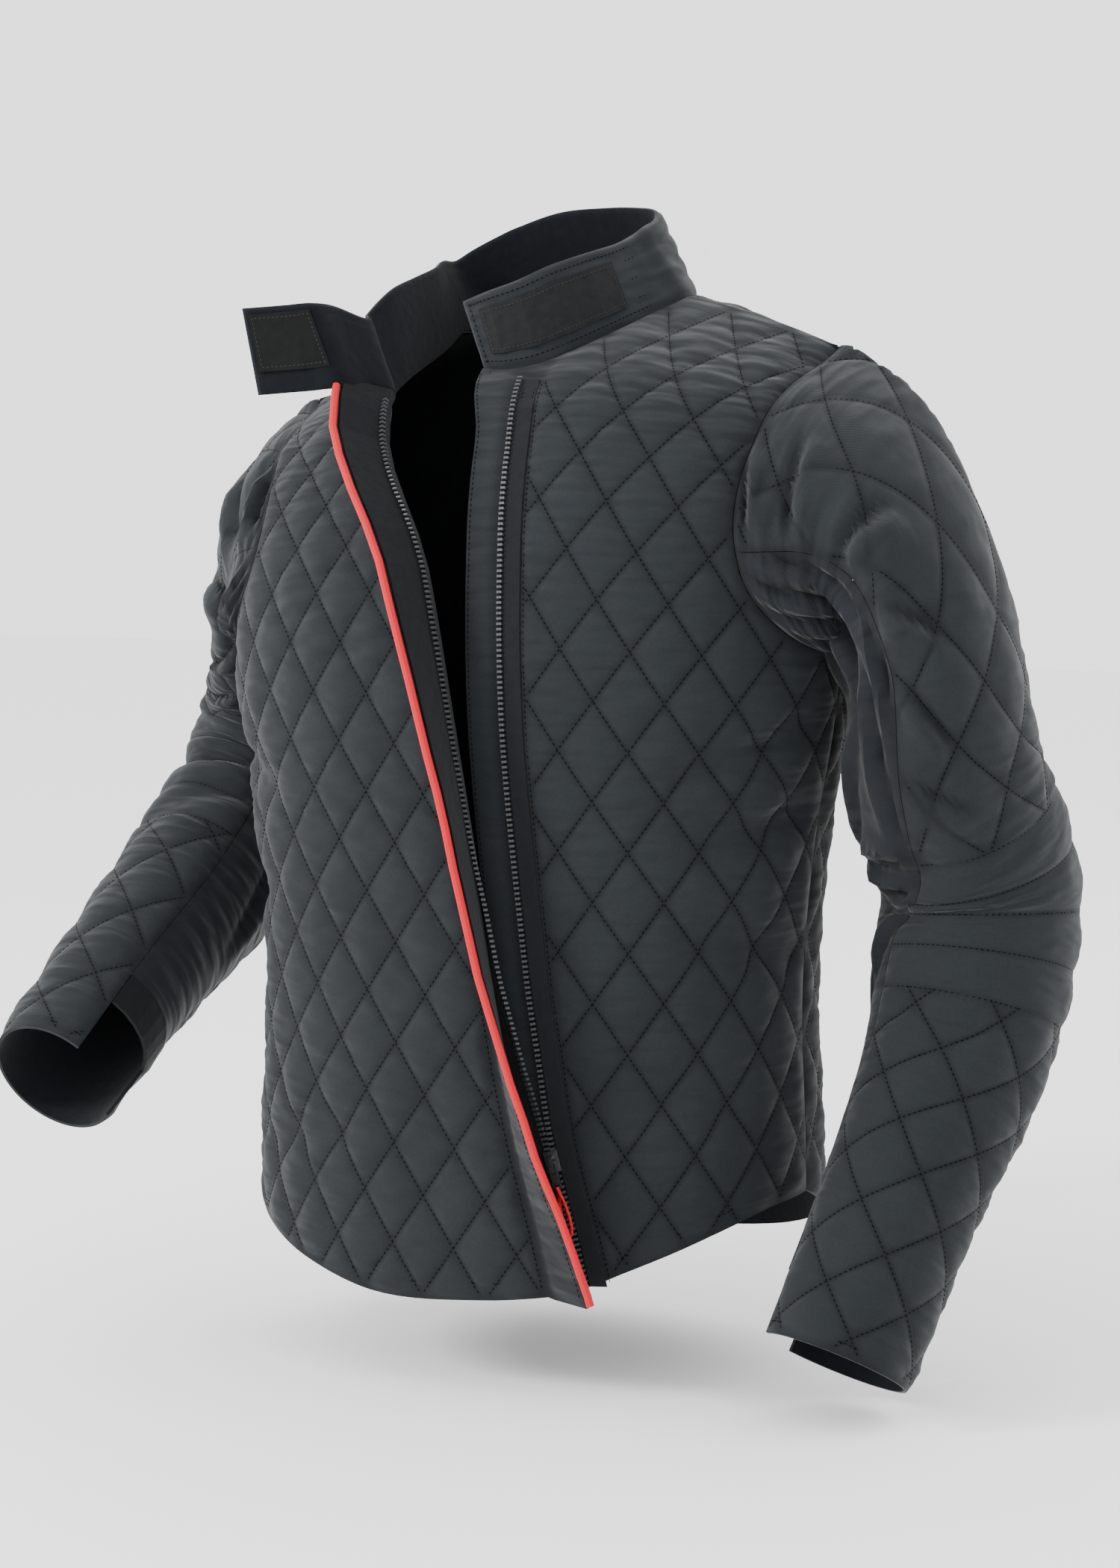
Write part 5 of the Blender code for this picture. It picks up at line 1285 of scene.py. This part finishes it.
def braid_material(name, colour, pitch, lift):
    """Braided yarn: slanting ridges from a wave on the object's own coordinates."""
    material = plain_material(name, colour, 0.62,
                              {"Sheen Weight": 0.04, "Specular IOR Level": 0.2})
    return textured(material, {
        "place": ("TexCoord", {}),
        "wave": ("TexWave", {"bands_direction": "DIAGONAL", "Scale": 1.0 / pitch,
                             "Distortion": 1.5}),
        "grain": ("TexNoise", {"Scale": 900.0}),
        "mix": blend([c * 0.72 for c in colour], colour),
        "bump": relief(0.5, lift),
    }, ["place.Object > wave.Vector", "place.Object > grain.Vector", "grain.Fac > mix.Factor",
        "mix.Result > shader.Base Color", "wave.Fac > bump.Height", "bump.Normal > shader.Normal"])


def metal_material(name, colour, roughness):
    """Metal with a fine mottled tone."""
    return textured(plain_material(name, colour, roughness, {"Metallic": 1.0}), {
        "place": ("TexCoord", {}),
        "grain": ("TexNoise", {"Scale": 450.0}),
        "mix": blend(colour, [c * 1.8 for c in colour]),
    }, ["place.Object > grain.Vector", "grain.Fac > mix.Factor", "mix.Result > shader.Base Color"])


def add_teeth(part, lines):
    teeth = set_along("zip_teeth_" + part, lines, TOOTH, TOOTH_SIZES, moulded,
                      TOOTH_PITCH)
    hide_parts("zip_chain_" + part)


TOOTH = tooth()
moulded = plain_material("moulded_teeth", (0.034, 0.0355, 0.038), 0.45)
add_teeth("left", [zip_line(1, ZIP_TOP, OPEN_END, CHAIN_WIDTH / 2)])
add_teeth("right", [zip_line(-1, ZIP_TOP + RIGHT_ROW_LATE, OPEN_END, 0)])
add_teeth("closed", [zip_line(1, CLOSED_START, ZIP_END, -CHAIN_WIDTH / 2),
                     zip_line(1, CLOSED_START + CLOSED_STAGGER, ZIP_END, CHAIN_WIDTH / 2)])
red_braid = braid_material("red_braid", (0.56, 0.007, 0.014), 0.004, 0.0004)
tape_weave = fleece_material("tape_weave", (0.005, 0.0055, 0.007), (0.009, 0.0098, 0.0115))
facing_weave = fleece_material("facing_weave", (0.003, 0.0036, 0.0048), (0.0065, 0.0075, 0.0092))
slider_metal = metal_material("slider_metal", (0.10, 0.10, 0.105), 0.35)
for node, finish in (
        ("piping_right", red_braid), ("zip_tape_left", tape_weave), ("zip_tape_right", tape_weave),
        ("facing_right", facing_weave), ("zip_slider", slider_metal), ("zip_pull", slider_metal),
        ("cuff_band_left", facing_weave), ("cuff_band_right", facing_weave)):
    dress(node, finish)


# Collar
# A padded stand collar of the shell cloth, topstitched round its edge, with a loop patch on its
# left end and a hook patch inside the tab that closes over it.
COLLAR_WALL = 4.6
COLLAR_PUFF = 1.76
PADDED_FROM = 130.0
PADDED_TO = 470.0
PADDED_FADE = 20.0
PADDED_ROWS = 4
TAB_LENGTH = 58.0
TAB_STEPS = 3
TAB_WAY = Vector((-0.91, -0.25, -0.08))
Stance = namedtuple("Stance", "along side back up")
COLLAR_STANCE = [
    Stance(0, -23, 14, 44),
    Stance(21, -20, 7, 51),
    Stance(66, -18, -2, 55),
    Stance(127, -22, 2, 49),
    Stance(168, -29, -6, 47),
    Stance(211, -22, -13, 58),
    Stance(258, -27, -16, 58),
    Stance(312, -27, -16, 52),
    Stance(361, -18, -12, 52),
    Stance(404, -17, -4, 46),
    Stance(436, -10, 3, 53),
    Stance(495, -9, -3, 58),
    Stance(521, -14, -4, 56),
    Stance(545, -18, -6, 46),
    Stance(562, -20, -10, 52),
    Stance(590, -17, -8, 54),
    Stance(625, -11, -5, 55),
]
LEFT_NECK_STEPS, BACK_NECK_STEPS, RIGHT_NECK_STEPS = 7, 10, 4
BEND_RUN = FLAP_BEND * math.pi / 2
FLAP_PASTS = (0.0, BEND_RUN / 2, BEND_RUN, (FLAP + BEND_RUN) / 2, FLAP)
COLLAR_STEP = 3.0
COLLAR_FINE_ROWS = 20
EDGE_ROUND = 3.0
EDGE_THIN = 0.45
TOPSTITCH_IN = 5.0
GROOVE_WIDE, GROOVE_DEEP = 1.3, 0.55
# Painted shade along the topstitching groove: its width and strength.
GROOVE_DARK_WIDE, GROOVE_DARK = 1.6, 0.8
SEWN_IN = 3.0
LOOP_BORDER = (14.5, 113.5, 0.25, 0.75, 2.35)
HOOK_BORDER_FROM = 0.9 * TAB_LENGTH - 2.5
HOOK_BORDER_TO = 7.5
HOOK_BORDER = (0.29, 0.87, -COLLAR_WALL - 2.15)
PATCH_THREAD_SIZES = (2.2, 0.6, 0.4)
PATCH_THREAD_PITCH = 3.0


def left_neck():
    """Front neckline of the left half, from the shoulder seam to the free edge."""
    end = opening_edge(1)(NECK_FRONT)
    count = LEFT_NECK_STEPS
    alongs = [NECK_HALF + (end - NECK_HALF) * (k / count) ** 1.5 for k in range(count + 1)]
    return [Vector((a, neck_drop(a))) for a in alongs]


def right_neck():
    """Neckline of the right half, from the shoulder seam to the flap's root."""
    end = flap_root(RIGHT_NECK_END)
    count = RIGHT_NECK_STEPS
    return [Vector((-NECK_HALF + (end + NECK_HALF) * k / count, RIGHT_NECK_END * k / count))
            for k in range(count + 1)]


def back_neck():
    """Back neckline from the left shoulder seam to the right one."""
    return [Vector(back_neck_at(k / BACK_NECK_STEPS)) for k in range(BACK_NECK_STEPS + 1)]


def collar_base():
    """Points of the neckline from the left free edge to the flap's corner, then of the tab."""
    base = [front_left_surface(*p) for p in reversed(left_neck())]
    base += [back_surface(*p) for p in back_neck()[1:]]
    base += [front_right_surface(min(p.x - flap_root(p.y), 0.0), p.y) for p in right_neck()[1:]]
    base += [front_right_surface(past, RIGHT_NECK_END + FLAP_SLANT * past)
             for past in FLAP_PASTS[1:]]
    corner = base[-1]
    return base + [corner + TAB_WAY * (TAB_LENGTH * k / TAB_STEPS)
                   for k in range(1, TAB_STEPS + 1)]


@lru_cache(maxsize=None)
def collar_columns():
    """Base points, their distances along the neckline, the ups and the outward directions."""
    points = collar_base()
    alongs = [0.0]
    for one, two in zip(points, points[1:]):
        alongs.append(alongs[-1] + (two - one).length)
    ups = [Vector([read(COLLAR_STANCE, name, s) for name in ("side", "back", "up")])
           for s in alongs]
    outs = []
    for i in range(len(points)):
        before, after = points[max(i - 1, 0)], points[min(i + 1, len(points) - 1)]
        low = (after - before).normalized()
        tops = (after + ups[min(i + 1, len(ups) - 1)]) - (before + ups[max(i - 1, 0)])
        outs.append((low + tops.normalized()).cross(ups[i]).normalized())
    return points, alongs, ups, outs


def collar_at(along, share, lift):
    points, alongs, ups, outs = collar_columns()
    along = min(max(along, 0.0), alongs[-1])
    up = spline(alongs, ups, along)
    out = spline(alongs, outs, along).normalized()
    return spline(alongs, points, along) + up * share + out * lift, out, up.length


def edge_distance(along, share, tall, reach):
    """Distance to the collar's nearest edge, whose lower one is sewn in."""
    return min(share * tall + SEWN_IN, (1 - share) * tall, along, reach - along)


def collar_lift(along, share, tall, reach):
    """Half thickness of the collar: padded rows behind, thin at its sewn edges."""
    edge = edge_distance(along, share, tall, reach)
    thick = math.sqrt(min(max(edge / EDGE_ROUND, 0.0), 1.0))
    half = COLLAR_WALL / 2 * (EDGE_THIN + (1 - EDGE_THIN) * thick)
    groove = math.exp(-((edge - TOPSTITCH_IN) / GROOVE_WIDE) ** 2) * GROOVE_DEEP
    padded = ease((along - PADDED_FROM) / PADDED_FADE) * ease((PADDED_TO - along) / PADDED_FADE)
    rows = abs(math.sin(math.pi * share * PADDED_ROWS)) ** CHANNEL_POWER * COLLAR_PUFF
    return half - groove + padded * rows, half - groove


def add_collar(materials):
    reach = collar_columns()[1][-1]
    count = round(reach / COLLAR_STEP)
    outer, inner, painted_shades = [], [], []
    for i in range(count + 1):
        along = reach * i / count
        for k in range(COLLAR_FINE_ROWS + 1):
            share = -0.03 + 1.03 * k / COLLAR_FINE_ROWS
            middle, out, tall = collar_at(along, share, -COLLAR_WALL / 2)
            front, behind = collar_lift(along, share, tall, reach)
            small = 0.35 * crumple(along, share * tall, 31.0)
            outer.append(middle + out * (front + small))
            inner.append(middle - out * (behind - 0.3 * small))
            # Painted shade darkening the colour along the topstitching groove.
            edge = edge_distance(along, share, tall, reach)
            near = math.exp(-((edge - TOPSTITCH_IN) / GROOVE_DARK_WIDE) ** 2)
            painted_shades.append(near * GROOVE_DARK)
    rows = COLLAR_FINE_ROWS + 1
    total = len(outer)
    faces = []
    for i in range(count):
        for k in range(COLLAR_FINE_ROWS):
            a = i * rows + k
            b, c, d = a + rows, a + rows + 1, a + 1
            faces.append((a, b, c, d))
            faces.append((a + total, d + total, c + total, b + total))
    loop = [i * rows for i in range(count + 1)]
    loop += [count * rows + k for k in range(1, rows)]
    loop += [i * rows + rows - 1 for i in range(count - 1, -1, -1)]
    loop += list(range(rows - 2, 0, -1))
    for a, b in zip(loop, loop[1:] + loop[:1]):
        faces.append((b, a, a + total, b + total))
    flats = np.array([(reach * (j // rows) / count, 57.0 * (j % rows) / rows)
                      for j in range(total)])
    thing = cloth_object("collar_cloth", np.array([tuple(p) for p in outer]),
                         np.array([tuple(p) for p in inner]), faces,
                         slice(1, 2 * count * COLLAR_FINE_ROWS, 2), flats, np.array(painted_shades),
                         materials)
    lines = []
    for share in (0.1, 0.9):
        lines.append([collar_pair(s, share) for s in range(6, int(reach) - 5, 4)])
    for along in (TOPSTITCH_IN, reach - TOPSTITCH_IN):
        lines.append([collar_pair(along, v / 20) for v in range(2, 19)])
    for share in (0.25, 0.5, 0.75):
        lines.append([collar_pair(s, share) for s in range(int(PADDED_FROM), int(PADDED_TO), 4)])
    sew("collar", lines)
    return thing


def collar_pair(along, share):
    point, out, _ = collar_at(along, share, 0.1)
    return point, out


def patch_border(start, end, low, high, lift):
    """Line of stitches round a patch, on the collar's outside or inside."""
    corners = [(start, low), (end, low), (end, high), (start, high), (start, low)]
    line = []
    for (a, v), (b, w) in zip(corners, corners[1:]):
        count = max(round(abs(b - a) / 4), 8)
        for k in range(count):
            point, out, _ = collar_at(a + (b - a) * k / count, v + (w - v) * k / count, lift)
            line.append((point, out if lift > 0 else -out))
    return line + line[:1]


loop_pile = fleece_material("loop_pile", (0.005, 0.0052, 0.0056), (0.012, 0.0124, 0.013))
hook_tape = fleece_material("hook_tape_weave", (0.0025, 0.0026, 0.0028), (0.0065, 0.0068, 0.007))
add_collar([shell_cloth, fleece])
grey_thread = plain_material("grey_thread", (0.022, 0.023, 0.025), 0.7,
                             {"Specular IOR Level": 0.2})
reach = collar_columns()[1][-1]
set_along("stitching_patches", [patch_border(*LOOP_BORDER),
                                patch_border(reach - HOOK_BORDER_FROM, reach - HOOK_BORDER_TO,
                                             *HOOK_BORDER)],
          STITCH, PATCH_THREAD_SIZES, grey_thread, PATCH_THREAD_PITCH)
dress("collar_patch_loop", loop_pile)
dress("collar_patch_hook", hook_tape)


# Loop of red cord
# Thin red braid through the hole at the end of the metal pull, as a longer grip. It hangs as one
# closed loop, with both ends melted together in the hole.
HINGE_HEIGHT = 3.0
CORD_RADIUS = 1.1
PULL_HOLE_MIDDLE = 15.3
CORD_PATH = [
    (0.0, 0.9, 2.0), (0.2, 3.0, 2.2), (1.0, 7.0, 1.4), (2.0, 13.0, 0.9), (2.7, 21.0, 0.7),
    (2.5, 28.0, 0.7), (1.5, 32.7, 0.6), (0.0, 34.0, 0.5), (-1.5, 32.7, 0.3), (-2.5, 28.0, 0.0),
    (-2.7, 21.0, -0.4), (-2.0, 13.0, -1.0), (-1.0, 7.0, -1.6), (-0.2, 3.0, -2.2),
]


def slider_frame():
    """Place and directions at the slider: across, down the cloth, and out of it."""
    along = read(OPENING, "zip_left", SLIDER_DROP)
    centre = bare_body("front", along, SLIDER_DROP)
    out = body_normal("front", along, SLIDER_DROP)
    ahead = (bare_body("front", read(OPENING, "zip_left", SLIDER_DROP + 20), SLIDER_DROP + 20)
             - centre)
    down = (ahead - out * ahead.dot(out)).normalized()
    return centre, out.cross(down), down, out


def add_cord(material):
    centre, across, down, out = slider_frame()
    places = [centre + across * a + down * (PULL_HOLE_MIDDLE + d) + out * (HINGE_HEIGHT + h)
              for a, d, h in CORD_PATH]
    data = bpy.data.curves.new("pull_cord_braid", "CURVE")
    data.dimensions = "3D"
    data.bevel_depth = CORD_RADIUS * MM
    data.bevel_resolution = 3
    data.use_fill_caps = True
    line = data.splines.new("POLY")
    line.points.add(len(places) - 1)
    for point, place in zip(line.points, places):
        point.co = (*(place * MM), 1)
    data.materials.append(material)
    thing = placed("pull_cord_braid", data)
    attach(thing, "pull")
    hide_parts("pull_cord")
    return thing


add_cord(red_braid)
for spare in (STITCH, TOOTH):
    bpy.data.objects.remove(spare)
